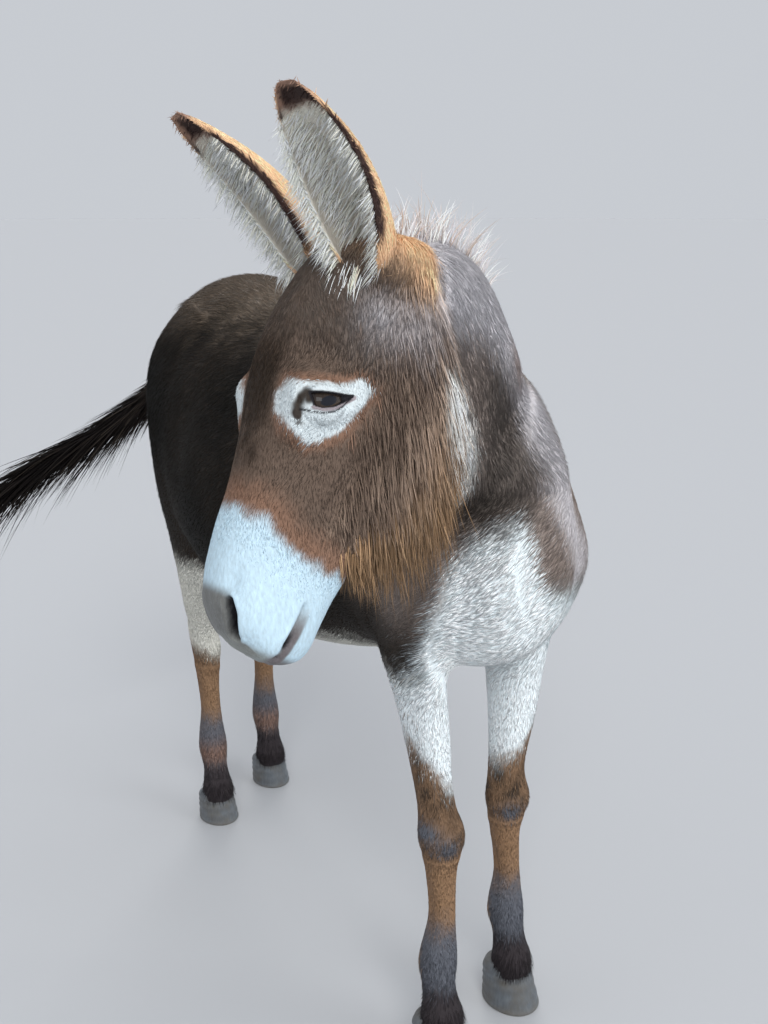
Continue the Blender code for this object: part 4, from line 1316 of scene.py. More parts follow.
def hair_tone_group():
    tree, given, out = group_with(
        "Hair tone",
        [("Marking", COLOUR_SOCKET, None), ("Along", VALUE_SOCKET, 0.5),
         ("Tone", VALUE_SOCKET, 0.5), ("Root shade", VALUE_SOCKET, 0.6),
         ("Bleach", VALUE_SOCKET, 0.25), ("Tip shade", VALUE_SOCKET, 0.0),
         ("Spread", VALUE_SOCKET, 0.35), ("Gain", VALUE_SOCKET, 1.0)],
        [("Colour", COLOUR_SOCKET), ("Roughness", VALUE_SOCKET)],
    )
    marking, along, tone, root_shade, bleach, tip_shade, spread, gain = given.outputs[:8]
    # painted shade: each hair darkens towards its root, where the tufts shade one another
    at_root = reckon(tree, "SUBTRACT", 1.0, along)
    root_shaded = mix_colours(tree, marking, BLACK, reckon(tree, "MULTIPLY", at_root, root_shade))
    pale = mix_colours(tree, marking, BLEACHED_HAIR, 0.30)
    tip = reckon(tree, "POWER", along, 2.0)
    palest_tufts = reckon(tree, "MULTIPLY", tip, reckon(tree, "POWER", tone, 3.0))
    tinted = mix_colours(tree, root_shaded, pale, reckon(tree, "MULTIPLY", palest_tufts, bleach))
    tinted = mix_colours(tree, tinted, BLACK, reckon(tree, "MULTIPLY", tip, tip_shade))
    centred = reckon(tree, "SUBTRACT", tone, 0.5)
    # painted light: Gain lifts each hair above its marking, standing in for the light that passes
    # through real hair; the tone spread varies it at random
    gain = reckon(tree, "ADD", gain, reckon(tree, "MULTIPLY", centred, spread))
    palest = add_node(tree, "ShaderNodeVectorMath", {1: PALEST_HAIR}, operation="MINIMUM")
    rough = reckon(tree, "ADD", 0.62, reckon(tree, "MULTIPLY", centred, 0.20))
    link_all(tree, [
        (scaled(tree, tinted, gain), palest.inputs[0]),
        (palest.outputs[0], out.inputs["Colour"]), (rough, out.inputs["Roughness"]),
    ])
    return tree


HAIR_TONE = hair_tone_group()

# %% Materials of hair and skin


def material_named(name, **constants):
    """A Principled material; constants go straight onto the shader's own sockets."""
    material = bpy.data.materials.new(name)
    material.use_nodes = True
    shader = material.node_tree.nodes["Principled BSDF"]
    for label, value in constants.items():
        shader.inputs[label.replace("_", " ")].default_value = value
    return material, material.node_tree, shader


def hair_material(name, tones):
    """Hair takes its colour from the tone group; tones are values for its inputs."""
    material, tree, shader = material_named(name, Specular_IOR_Level=0.06)
    tone = add_node(tree, "ShaderNodeGroup", tones, node_tree=HAIR_TONE)
    link_all(tree, [
        (named_input(tree, "coat_colour", "colour"), tone.inputs["Marking"]),
        (named_input(tree, "along", "value"), tone.inputs["Along"]),
        (named_input(tree, "tone", "value"), tone.inputs["Tone"]),
        (tone.outputs["Colour"], shader.inputs["Base Color"]),
        (tone.outputs["Roughness"], shader.inputs["Roughness"]),
    ])
    return material


def skin_material():
    """Short hair painted and embossed, and smoother bare skin where the mask says so."""
    material, tree, shader = material_named("skin", Specular_IOR_Level=0.18)
    place = add_node(tree, "ShaderNodeTexCoord").outputs["Object"]
    strands = add_node(tree, "ShaderNodeTexNoise", {"Scale": 420.0, "Detail": 5.0})
    stretch = add_node(tree, "ShaderNodeMapping", {"Scale": (1.0, 1.0, 0.30)})
    wrinkles = add_node(tree, "ShaderNodeTexVoronoi", {"Scale": 260.0},
                        feature="DISTANCE_TO_EDGE")
    bare = named_input(tree, "bare", "value")
    marking = named_input(tree, "coat_colour", "colour")
    dark = mix_colours(tree, marking, (0.86, 0.84, 0.82, 1.0), 1.0, "MULTIPLY")
    light = mix_colours(tree, marking, (1.08, 1.08, 1.08, 1.0), 1.0, "MULTIPLY")
    fibre = reckon(tree, "MULTIPLY_ADD", strands.outputs["Fac"], 2.4, -0.7, clamp=True)
    base = mix_colours(tree, dark, light, fibre)
    rough = reckon(tree, "MULTIPLY_ADD", bare, -0.30, 0.72)
    crease = reckon(tree, "MULTIPLY", wrinkles.outputs["Distance"], bare)
    height = reckon(tree, "ADD", strands.outputs["Fac"], crease)
    bump = add_node(tree, "ShaderNodeBump", {"Strength": 0.55, "Distance": 0.0016})
    link_all(tree, [
        (place, stretch.inputs["Vector"]),
        (stretch.outputs[0], strands.inputs["Vector"]),
        (place, wrinkles.inputs["Vector"]),
        (base, shader.inputs["Base Color"]),
        (rough, shader.inputs["Roughness"]),
        (height, bump.inputs["Height"]),
        (bump.outputs["Normal"], shader.inputs["Normal"]),
    ])
    return material


SKIN = skin_material()
# Root shade is painted shade at each hair's root, and Gain is painted light that lifts the hair
# above its marking
COAT = hair_material("coat hair", {
    "Root shade": 0.06, "Bleach": 0.15, "Spread": 0.40, "Gain": 1.25})
FACE_COAT = hair_material("face hair", {
    "Root shade": 0.06, "Bleach": 0.12, "Spread": 0.34, "Gain": 1.20})
LOCKS = hair_material("long hair", {
    "Root shade": 0.10, "Bleach": 0.30, "Spread": 0.60, "Gain": 1.35})
BEARD_LOCKS = hair_material("beard hair", {
    "Root shade": 0.10, "Bleach": 0.30, "Spread": 0.75, "Gain": 1.45, "Tip shade": 0.55})

# %% [markdown]
# ## One skin
#
# The ears' shells are joined to the melted body, so a single piece stands for all nodes
# of flesh. Their feet are sunk into the head, where the hair at the ear's root covers
# the join.

# %% Join the ears and finish the skin
FLESH_NODES = [name for name in frame["nodes"]
               if not name.startswith(("eye_", "tail_")) and not name.endswith("_hoof")
               and name not in ("mane", "beard")]


def joined(meshes):
    """One mesh out of several, keeping their attributes."""
    things = []
    for mesh in meshes:
        thing = bpy.data.objects.new("part", mesh)
        bpy.context.scene.collection.objects.link(thing)
        things.append(thing)
    with bpy.context.temp_override(active_object=things[0], object=things[0],
                                   selected_objects=things,
                                   selected_editable_objects=things):
        bpy.ops.object.join()
    mesh = things[0].data
    bpy.data.objects.remove(things[0], do_unlink=True)
    return mesh


ear_data = {
    side_name: (points_of(mesh), normals_of(mesh), triangles_of(mesh), share, spread, inside)
    for side_name, (mesh, share, spread, inside) in ear_meshes.items()
}
whole_skin = joined([skin] + [mesh for mesh, *_ in ear_meshes.values()])
whole_skin.materials.clear()
whole_skin.materials.append(SKIN)
as_piece("skin", whole_skin, FLESH_NODES)

# %% [markdown]
# ## Eyes
#
# An equine eye is a large ball with a clear bulge in front, a brown iris and a dark
# pupil that is wider than it is high. The ball is turned so that its pole looks out of
# the head, and each point keeps its place on the eye, so the iris is painted by a rule.

# %% Eyes
IRIS_RADIUS = 0.0116
IRIS_PLACE = (-0.0030, 0.0012)
PUPIL_SIZE = (0.0074, 0.0042)
IRIS_DARK = (0.016, 0.011, 0.008, 1.0)
IRIS_BROWN = (0.042, 0.028, 0.020, 1.0)
IRIS_LIT = (0.070, 0.052, 0.038, 1.0)       # its lower half catches more light
PUPIL_BLUE = (0.006, 0.007, 0.012, 1.0)
BALL_BROWN = (0.014, 0.010, 0.009, 1.0)


def eye_mesh(side):
    form = bmesh.new()
    bmesh.ops.create_uvsphere(form, u_segments=48, v_segments=32, radius=EYE_RADIUS)
    local = np.array([vertex.co for vertex in form.verts])
    mesh = bpy.data.meshes.new("eye")
    form.to_mesh(mesh)
    form.free()
    reach = np.hypot(local[:, 0] - IRIS_PLACE[0], local[:, 1] - IRIS_PLACE[1])
    bulge = 0.0010 * rise(reach, IRIS_RADIUS * 1.15, 0.0) * (local[:, 2] > 0)
    shaped = local + np.array((0.0, 0.0, 1.0)) * bulge[:, None]
    move_points(mesh, from_head(from_eye(shaped) * (1.0, 1.0, side)))
    if side > 0:                # the head's directions are a mirror of x, y and z
        mesh.flip_normals()
    store(mesh, "eye_place", "FLOAT_VECTOR", local)
    return mesh


def eye_material():
    material, tree, shader = material_named(
        "eye", Roughness=0.10, Coat_Weight=0.55, Coat_Roughness=0.03, Specular_IOR_Level=0.12)
    split = add_node(tree, "ShaderNodeSeparateXYZ")
    attribute = add_node(tree, "ShaderNodeAttribute", attribute_name="eye_place")
    tree.links.new(attribute.outputs["Vector"], split.inputs[0])
    x = reckon(tree, "SUBTRACT", split.outputs[0], IRIS_PLACE[0])
    y = reckon(tree, "SUBTRACT", split.outputs[1], IRIS_PLACE[1])

    def oval(wide, high):
        across = reckon(tree, "POWER", reckon(tree, "DIVIDE", x, wide), 2.0)
        up = reckon(tree, "POWER", reckon(tree, "DIVIDE", y, high), 2.0)
        return reckon(tree, "SQRT", reckon(tree, "ADD", across, up))

    fibres = add_node(tree, "ShaderNodeTexNoise", {"Scale": 900.0})
    tree.links.new(attribute.outputs["Vector"], fibres.inputs["Vector"])
    iris = mix_colours(tree, IRIS_DARK, IRIS_BROWN, fibres.outputs["Fac"])
    iris = mix_colours(tree, iris, IRIS_LIT,
                       reckon(tree, "MULTIPLY_ADD", y, -220.0, -0.35, clamp=True))
    pupil_edge = reckon(tree, "MULTIPLY_ADD", oval(*PUPIL_SIZE), 6.0, -5.4, clamp=True)
    iris = mix_colours(tree, PUPIL_BLUE, iris, pupil_edge)
    iris_edge = reckon(tree, "MULTIPLY_ADD", oval(IRIS_RADIUS, IRIS_RADIUS), 6.0, -5.5,
                       clamp=True)
    tree.links.new(mix_colours(tree, iris, BALL_BROWN, iris_edge), shader.inputs["Base Color"])
    return material


EYE = eye_material()
for side_name, side in SIDES.items():
    mesh = eye_mesh(side)
    mesh.materials.append(EYE)
    as_piece("eye_ball_" + side_name, mesh, ["eye_" + side_name])

# %% [markdown]
# ## Hooves
#
# Horn grows down from the coronet in rings and wears off at the toe. The hoof is turned
# from a few heights, wider at the sole, with its top leaning back, and each growth ring
# is a faint step.

# %% Hooves
HOOVES = {
    "fore": {"sole": (0.034, 0.041), "top": (0.0285, 0.0285), "height": FORE_HOOF,
             "back": 0.014},
    "hind": {"sole": (0.031, 0.037), "top": (0.0270, 0.0275), "height": HIND_HOOF,
             "back": 0.012},
}
HOOF_SIDES = 72
HOOF_ROWS = 30
GROWTH_TURN = 31.0        # the growth rings are a wave that turns so far up the hoof
HORN_DARK = (0.060, 0.067, 0.078, 1.0)
HORN_PALE = (0.150, 0.168, 0.182, 1.0)
HORN_STAIN = (0.095, 0.084, 0.068, 1.0)
HORN_DUST = (0.170, 0.155, 0.130, 1.0)
HORN_GROOVE = (0.050, 0.050, 0.060, 1.0)


def hoof_mesh(foot, hoof):
    foot_x, foot_y = foot
    rings, heights = [], []
    for row in range(HOOF_ROWS + 3):
        share = min(max(row - 1, 0) / HOOF_ROWS, 1.0)
        growth = 0.00045 * math.sin(share * GROWTH_TURN + math.sin(share * 9.0))
        rounding = 0.0022 * max(0.0, 1.0 - share / 0.06) ** 2 + 0.0030 * (row == 0)
        rounding += 0.0035 * max(0.0, (share - 0.90) / 0.10) ** 2 + 0.009 * (row > HOOF_ROWS + 1)
        angle = 2 * math.pi * np.arange(HOOF_SIDES) / HOOF_SIDES
        uneven = 0.00035 * np.sin(angle * 7.0 + share * 3.0) * share
        width = hoof["sole"][0] + (hoof["top"][0] - hoof["sole"][0]) * share
        length = hoof["sole"][1] + (hoof["top"][1] - hoof["sole"][1]) * share
        width, length = width - rounding + growth + uneven, length - rounding + growth + uneven
        heel = 1.0 - 0.10 * (np.sin(angle) < -0.55) * share
        forward = np.sin(angle) * length * heel
        height = share * (hoof["height"] + forward * CORONET_SLOPE)
        side_line = foot_x + np.cos(angle) * width
        rings.append(np.column_stack([
            side_line, foot_y - forward + hoof["back"] * share, height]))
        heights.append(np.full(HOOF_SIDES, share))
    points, faces = loft(rings)
    mesh = mesh_of("hoof", points, faces)
    share = np.concatenate(heights + [[0.0, 1.0]])
    store(mesh, "up_the_hoof", "FLOAT", share)
    return mesh


# %% Horn, and the four hooves


def hoof_material():
    material, tree, shader = material_named(
        "hoof", Specular_IOR_Level=0.4, Coat_Weight=0.12, Coat_Roughness=0.35)
    place = add_node(tree, "ShaderNodeTexCoord").outputs["Object"]
    up = named_input(tree, "up_the_hoof", "value")
    drip = add_node(tree, "ShaderNodeMapping", {"Scale": (1.0, 1.0, 0.06)})
    lines = add_node(tree, "ShaderNodeTexNoise", {"Scale": 330.0, "Detail": 4.0})
    stains = add_node(tree, "ShaderNodeTexNoise", {"Scale": 42.0, "Detail": 5.0})
    rings = reckon(tree, "SINE", reckon(tree, "MULTIPLY", up, GROWTH_TURN))
    horn = mix_colours(tree, HORN_DARK, HORN_PALE, lines.outputs["Fac"])
    for tint, mask, steepness, start in ((HORN_STAIN, stains.outputs["Fac"], 2.5, -1.0),
                                         (HORN_DUST, up, -7.0, 0.75),
                                         (HORN_GROOVE, rings, 0.08, 0.05)):
        share = reckon(tree, "MULTIPLY_ADD", mask, steepness, start, clamp=True)
        horn = mix_colours(tree, horn, tint, share)
    rough = reckon(tree, "MULTIPLY_ADD", stains.outputs["Fac"], 0.35, 0.30)
    height = reckon(tree, "MULTIPLY_ADD", rings, 0.3, lines.outputs["Fac"])
    bump = add_node(tree, "ShaderNodeBump", {"Strength": 0.5, "Distance": 0.0008})
    link_all(tree, [
        (place, drip.inputs["Vector"]), (drip.outputs[0], lines.inputs["Vector"]),
        (place, stains.inputs["Vector"]), (horn, shader.inputs["Base Color"]),
        (rough, shader.inputs["Roughness"]), (height, bump.inputs["Height"]),
        (bump.outputs["Normal"], shader.inputs["Normal"]),
    ])
    return material


HOOF = hoof_material()
for prefix, feet in (("fore", FORE_FEET), ("hind", HIND_FEET)):
    for side_name, foot in feet.items():
        mesh = hoof_mesh(foot, HOOVES[prefix])
        mesh.materials.append(HOOF)
        node = prefix + "leg_" + side_name + "_hoof"
        as_piece(node + "_horn", mesh, [node])

# %% [markdown]
# ## Tufts from roots
#
# Hair comes in tens of thousands, which is work for Geometry Nodes. One tree grows a
# tuft on every root it is given: a thin three-sided cone, swelled so that it is a blade
# rather than a spike, is set on the root, turned to its lie, scaled and bent. It also
# gives each tuft a small patch of its own on the piece's map. Particle hair would look
# finer here, but it doesn't survive an export, and real mesh does.

# %% The tuft tree
PATCH = 0.003             # width of each tuft's own patch on the map


def tuft_tree():
    tree = bpy.data.node_groups.new("Tufts from roots", "GeometryNodeTree")
    for label, kind in (("Roots", "Geometry"), ("Segments", "Int"), ("Patch", "Float"),
                        ("Finish", "Material")):
        tree.interface.new_socket(label, in_out="INPUT", socket_type="NodeSocket" + kind)
    tree.interface.new_socket("Tufts", in_out="OUTPUT", socket_type="NodeSocketGeometry")
    given, out = add_node(tree, "NodeGroupInput"), add_node(tree, "NodeGroupOutput")

    def value_named(name, data_type="FLOAT_VECTOR"):
        node = add_node(tree, "GeometryNodeInputNamedAttribute", {"Name": name},
                        data_type=data_type)
        return node.outputs["Attribute"]

    def stored(geometry, name, data_type, domain, value):
        node = add_node(tree, "GeometryNodeStoreNamedAttribute", {"Name": name},
                        data_type=data_type, domain=domain)
        link_all(tree, [(geometry, node.inputs["Geometry"]), (value, node.inputs["Value"])])
        return node.outputs["Geometry"]

    cone = add_node(tree, "GeometryNodeMeshCone", {
        "Vertices": 3, "Radius Top": 0.0, "Radius Bottom": 1.0, "Depth": 1.0}, fill_type="NGON")
    split = add_node(tree, "ShaderNodeSeparateXYZ")
    fuller = reckon(tree, "ADD", 1.0, split.outputs[2])
    blade = add_node(tree, "ShaderNodeCombineXYZ")
    shape = add_node(tree, "ShaderNodeCombineXYZ")
    swelled = add_node(tree, "GeometryNodeSetPosition")
    link_all(tree, [
        (given.outputs["Segments"], cone.inputs["Side Segments"]),
        (add_node(tree, "GeometryNodeInputPosition").outputs[0], split.inputs[0]),
        (reckon(tree, "MULTIPLY", split.outputs[0], fuller), blade.inputs[0]),
        (reckon(tree, "MULTIPLY", split.outputs[1], fuller), blade.inputs[1]),
        (split.outputs[2], blade.inputs[2]),
        (reckon(tree, "MULTIPLY", split.outputs[1], 0.5), shape.inputs[0]),
        (split.outputs[2], shape.inputs[1]),
        (blade.outputs[0], swelled.inputs["Position"]),
    ])
    tuft = stored(cone.outputs["Mesh"], "along", "FLOAT", "POINT", split.outputs[2])
    tuft = stored(tuft, "shape", "FLOAT_VECTOR", "POINT", shape.outputs[0])
    turn = add_node(tree, "FunctionNodeAxesToRotation", primary_axis="Z", secondary_axis="X")
    grow = add_node(tree, "GeometryNodeInstanceOnPoints")
    real = add_node(tree, "GeometryNodeRealizeInstances")
    bent = add_node(tree, "GeometryNodeSetPosition")
    squared = reckon(tree, "POWER", value_named("along", "FLOAT"), 2.0)
    link_all(tree, [
        (tuft, swelled.inputs["Geometry"]),
        (value_named("lie"), turn.inputs["Primary Axis"]),
        (value_named("outward"), turn.inputs["Secondary Axis"]),
        (given.outputs["Roots"], grow.inputs["Points"]),
        (swelled.outputs[0], grow.inputs["Instance"]),
        (turn.outputs[0], grow.inputs["Rotation"]),
        (value_named("size"), grow.inputs["Scale"]),
        (grow.outputs[0], real.inputs[0]),
        (real.outputs[0], bent.inputs["Geometry"]),
        (scaled(tree, value_named("bend"), squared), bent.inputs["Offset"]),
    ])
    patch = add_node(tree, "ShaderNodeVectorMath", operation="ADD")
    finish = add_node(tree, "GeometryNodeSetMaterial")
    link_all(tree, [
        (value_named("root_uv"), patch.inputs[0]),
        (scaled(tree, value_named("shape"), given.outputs["Patch"]), patch.inputs[1]),
    ])
    mapped = stored(bent.outputs[0], "OFBake", "FLOAT2", "CORNER", patch.outputs[0])
    link_all(tree, [
        (mapped, finish.inputs["Geometry"]),
        (given.outputs["Finish"], finish.inputs["Material"]),
        (finish.outputs[0], out.inputs[0]),
    ])
    return tree


TUFTS = tuft_tree()
TUFT_SOCKETS = {item.name: item.identifier for item in TUFTS.interface.items_tree}
ROOT_KINDS = {"lie": "FLOAT_VECTOR", "outward": "FLOAT_VECTOR", "size": "FLOAT_VECTOR",
              "bend": "FLOAT_VECTOR", "root_uv": "FLOAT_VECTOR",
              "coat_colour": "FLOAT_COLOR", "tone": "FLOAT"}


def grown(roots, segments, finish):
    """A plain mesh of tufts from a dictionary of arrays, one row for each root."""
    mesh = bpy.data.meshes.new("roots")
    mesh.vertices.add(len(roots["place"]))
    move_points(mesh, roots["place"])
    for name, kind in ROOT_KINDS.items():
        store(mesh, name, kind, roots[name])

    def grow(helper):
        modifier = helper.modifiers.new("tufts", "NODES")
        modifier.node_group = TUFTS
        for label, value in (("Segments", segments), ("Patch", PATCH), ("Finish", finish)):
            modifier[TUFT_SOCKETS[label]] = value

    tufts = evaluated(mesh, grow)
    for name in ("lie", "outward", "size", "bend", "root_uv", "shape"):
        tufts.attributes.remove(tufts.attributes[name])
    return tufts


# %% [markdown]
# ## Scattering and combing
#
# Roots are spread evenly: twice too many are thrown on the skin, and only one is kept in
# each small cell of space. Combing lays the wanted direction flat on the skin, turns it
# a little at random, and lifts the tuft by a few degrees; its own weight bends it back.
# Each piece of coat gets a map that is unrolled round an axis, like a label off a can.

# %% Roots on a surface
DOWN = np.array((0.0, 0.0, -1.0))
MAP_EDGE, MAP_SPAN = 0.01, 0.97     # every map keeps a little clear of its border
THROWN = 2.2              # roots thrown for each that is wanted
CELL = 0.85               # width of a cell, as a share of the even distance between roots
tuft_triangles = {}


def scattered(points, triangles, density, seed):
    """Even random places on triangles: each is three corners and their weights."""
    rng = np.random.default_rng(seed)
    density = np.broadcast_to(np.asarray(density, float), len(triangles))
    first, second, third = (points[triangles[:, corner]] for corner in range(3))
    area = 0.5 * np.linalg.norm(np.cross(second - first, third - first), axis=1)
    picked = np.repeat(np.arange(len(triangles)), rng.poisson(area * density * THROWN))
    picked = rng.permutation(picked)
    shares = rng.random((len(picked), 2))
    shares = np.where(shares.sum(axis=1, keepdims=True) > 1.0, 1.0 - shares, shares)
    weights = np.column_stack([1.0 - shares.sum(axis=1), shares])
    corners = triangles[picked]
    places = (points[corners] * weights[:, :, None]).sum(axis=1)
    cells = np.floor(places * np.sqrt(density[picked])[:, None] / CELL).astype(int)
    kept = rng.permutation(np.unique(cells, axis=0, return_index=True)[1])
    kept = kept[:int((area * density).sum())]
    return corners[kept], weights[kept]


def at_roots(values, corners, weights):
    """Values kept for the points, read off where the roots are."""
    values = np.asarray(values, float)
    if values.ndim == 1:
        return (values[corners] * weights).sum(axis=1)
    return (values[corners] * weights[:, :, None]).sum(axis=1)


def unit(vectors):
    return vectors / np.maximum(np.linalg.norm(vectors, axis=1), 1e-9)[:, None]


def new_roots(points, normals, triangles, density, seed):
    """Places and normals of scattered roots, with their corners and weights."""
    spread = scattered(points, triangles, density, seed)
    return at_roots(points, *spread), unit(at_roots(normals, *spread)), *spread


# %% Combing, maps and pieces of coat


def combed(places, normals, flow, lengths, widths, lift, sag, colour, seed,
           scatter=0.16, thickness=0.16):
    """Roots for tufts that follow a flow over the skin.

    lift is how steeply a tuft leaves the skin and sag how far its weight bends it."""
    rng = np.random.default_rng(seed)
    count = len(places)
    flat = unit(flow - normals * (flow * normals).sum(axis=1)[:, None])
    turn = rng.normal(0.0, scatter, count) + 0.30 * ripple(places, 0.150, 11.0)
    across = np.cross(normals, flat)
    flat = flat * np.cos(turn)[:, None] + across * np.sin(turn)[:, None]
    lift = lift * rng.uniform(0.7, 1.3, count)
    lie = flat * np.cos(lift)[:, None] + normals * np.sin(lift)[:, None]
    length = lengths * rng.uniform(0.72, 1.22, count)
    width = widths * rng.uniform(0.75, 1.25, count)
    bend = (DOWN * 0.6 - normals * 0.5) * (sag * length)[:, None]
    bend = bend + across * (rng.normal(0.0, 0.07, count) * length)[:, None]
    tone = np.clip(rng.beta(2.2, 2.2, count) + 0.12 * ripple(places, 0.035, 13.0), 0.0, 1.0)
    return {
        "place": places - normals * (0.012 * length)[:, None], "lie": lie, "outward": normals,
        "size": np.column_stack([width * thickness / 2, width / 2, length]), "bend": bend,
        "tone": tone, "coat_colour": with_alpha(colour),
    }


def unrolled(places, origin, axis, zero):
    """A map round an axis: share of a turn from opposite zero, and height."""
    axis = np.array(axis) / np.linalg.norm(axis)
    zero = np.array(zero, float)
    zero = zero - axis * (zero @ axis)
    zero = zero / np.linalg.norm(zero)
    gap = places - np.array(origin)
    angle = np.arctan2(gap @ np.cross(axis, zero), gap @ zero) / (2 * math.pi) + 0.5
    height = gap @ axis
    height = (height - height.min()) / max(float(np.ptp(height)), 1e-6)
    return np.column_stack([MAP_EDGE + MAP_SPAN * angle, MAP_EDGE + MAP_SPAN * height,
                            np.zeros(len(places))])


def coat_piece(name, roots, segments, finish, replaced):
    mesh = grown(roots, segments, finish)
    tuft_triangles[name] = sum(len(face.vertices) - 2 for face in mesh.polygons)
    print(name, len(roots["place"]), "tufts,", tuft_triangles[name], "triangles")
    as_piece(name, mesh, replaced)


# %% [markdown]
# ## The lie of the coat
#
# A donkey's hair flows back and down over the ribs, straight back along the spine and
# belly, down the legs, back and down the neck, and down the face from the brow. On the
# cheeks it hangs by its own weight, and round the eye it fans away from the lids.

# %% Flow and length
FORELEG_CUT = ((0.0, -0.330, 0.474), (0.0, 0.25, 1.0))
HINDLEG_CUT = ((0.0, 0.240, 0.462), (0.0, -0.417, 1.0))
BREAST_HAIR, LID_HAIR = 0.0150, 0.0042
FETLOCK_HAIR, CORONET_HAIR = 0.0065, 0.0080      # more than on the rest of the leg


def by_the_legs(y):
    """1 at the front and hind quarters, 0 in the middle of the barrel."""
    return np.maximum(rise(y, -0.10, -0.20), rise(y, 0.10, 0.20))


def body_flow(points):
    y, z = points[:, 1:].T
    flow = mixed((0.0, 0.80, -0.60), (0.0, 1.0, -0.12), rise(z, 0.800, 0.875))
    flow = mixed(flow, (0.0, 1.0, 0.05), rise(z, 0.500, 0.440))
    flow = mixed(flow, (0.0, 0.20, -1.0), rise(y, 0.220, 0.340))
    flow = mixed(flow, (0.20, 0.50, -0.80), rise(beyond(points, NECK_CUT), -0.04, 0.04))
    flow = mixed(flow, (-0.85, 0.0, -0.50), rise(y, -0.300, -0.370) * rise(z, 0.74, 0.69))
    return mixed(flow, (0.0, 0.15, -1.0), by_the_legs(y) * rise(z, 0.50, 0.43))


def face_flow(folded):
    """The flow on the left half of the head, in the head's own numbers."""
    along, above, out = folded.T
    falling = HEAD_AXES @ DOWN * (1.0, 1.0, 0.0)
    flow = mixed((1.0, 0.0, 0.0), (0.85, -0.30, 0.45),
                 rise(along, 0.110, 0.050) * rise(out, 0.004, 0.030))
    flow = mixed(flow, falling, rise(above, 0.015, -0.045) * rise(along, 0.270, 0.220))
    flow = mixed(flow, (0.70, -0.60, 0.10), rise(along, 0.230, 0.290))
    eye = eye_numbers(folded)
    away = unit(eye * (1.0, 1.0, 0.0)) @ EYE_AXES
    near = fading(np.hypot(eye[:, 0], eye[:, 1]), 0.030) * (out > 0.03)
    return mixed(flow, away, 0.75 * near)


def coat_flow(points, numbers, headed):
    """The way that the hair runs at each point."""
    face = face_flow(mirrored(numbers)) * side_signs(numbers)
    return np.where(headed[:, None], face @ HEAD_AXES, body_flow(points))


def coat_length(points, folded, headed):
    """Shaggiest over the croup, shorter on the breast and belly, shortest by the eyes."""
    y, z = points[:, 1:].T
    length = 0.0240 - 0.0060 * rise(z, 0.60, 0.48)
    length = length + 0.0060 * rise(z, 0.82, 0.87) * rise(y, -0.1, 0.1)
    length = np.where((y < -0.30) & (z < 0.72), BREAST_HAIR, length)
    leg = by_the_legs(y) * rise(z, 0.52, 0.42)
    short = 0.0100 - 0.0020 * rise(z, 0.30, 0.20)
    fetlock = rise(z, 0.165, 0.125)
    length = length + (short + FETLOCK_HAIR * fetlock - length) * leg
    length = length + CORONET_HAIR * leg * rise(z, 0.090, 0.070)
    along, above, out = folded.T
    face = 0.0140 - 0.0075 * rise(along, 0.06, 0.14)
    face = face + 0.0130 * rise(above, -0.020, -0.090) * rise(along, 0.250, 0.190)
    face = face - 0.0030 * rise(along, 0.235, 0.275)
    by_eye = rise(opening_margin(eye_numbers(folded)), 0.030, 0.008) * (out > 0.03)
    face = face + (LID_HAIR - face) * by_eye
    return np.where(headed, face, length)


# %% [markdown]
# ## The short coat, piece by piece
#
# The coat is grown in pieces that follow the parts of the body, so that none grows too
# heavy and each has its own map. Roots are closest on the face and feet, where the hair
# is shortest and finest.

# %% Regions of the coat


def region_names(points):
    """The piece of coat that each point belongs to."""
    x, y = points[:, :2].T
    names = np.full(len(points), "barrel       ")
    names[y < -0.200] = "chest"
    names[y > 0.150] = "hindquarters"
    names[beyond(points, NECK_CUT) > 0] = "neck"
    fore = (beyond(points, FORELEG_CUT) < 0) & (y < -0.10)
    hind = (beyond(points, HINDLEG_CUT) < 0) & (y > 0.10)
    names[fore] = np.where(x[fore] > FRONT_LEAN, "foreleg_left", "foreleg_right")
    names[hind] = np.where(x[hind] > 0.0, "hindleg_left", "hindleg_right")
    names[on_the_head(points)] = "head"
    return np.char.strip(names)


# %% Numbers, maps and bare places of the coat
# Piece: roots to the square metre, width of a tuft, how steeply it leaves the skin
COAT_PIECES = {
    "barrel": (98000, 0.0025, 0.065),
    "chest": (125000, 0.0020, 0.036),
    "hindquarters": (98000, 0.0025, 0.075),
    "neck": (200000, 0.0019, 0.060),
    "head": (250000, 0.0014, 0.075),
    "foreleg_left": (180000, 0.0014, 0.042),
    "foreleg_right": (180000, 0.0014, 0.042),
    "hindleg_left": (150000, 0.0016, 0.055),
    "hindleg_right": (150000, 0.0016, 0.055),
}

# How far hair keeps from the lids, the eye's corner, the nostril, the lips and the floor
BARE_LID, BARE_CORNER, BARE_NOSTRIL, BARE_LIP = 0.0034, 0.0046, 0.0075, 0.0050
LOWEST_ROOT = 0.052


def map_of_piece(name, places):
    """Each region's map is unrolled round its own length."""
    if name == "head":
        return unrolled(places, on_head(0.0, -0.040, 0.0), ALONG, BROW)
    if name == "neck":
        return unrolled(places, (-0.08, -0.34, 0.82), NECK_CUT[1], (0, 0, 1))
    if "leg" in name:
        x, y = places[:, 0].mean(), places[:, 1].mean()
        return unrolled(places, (x, y, 0.0), (0, 0, 1), (0, 1, 0))
    return unrolled(places, (0.0, 0.0, 0.66), (0, 1, 0), (0, 0, -1))


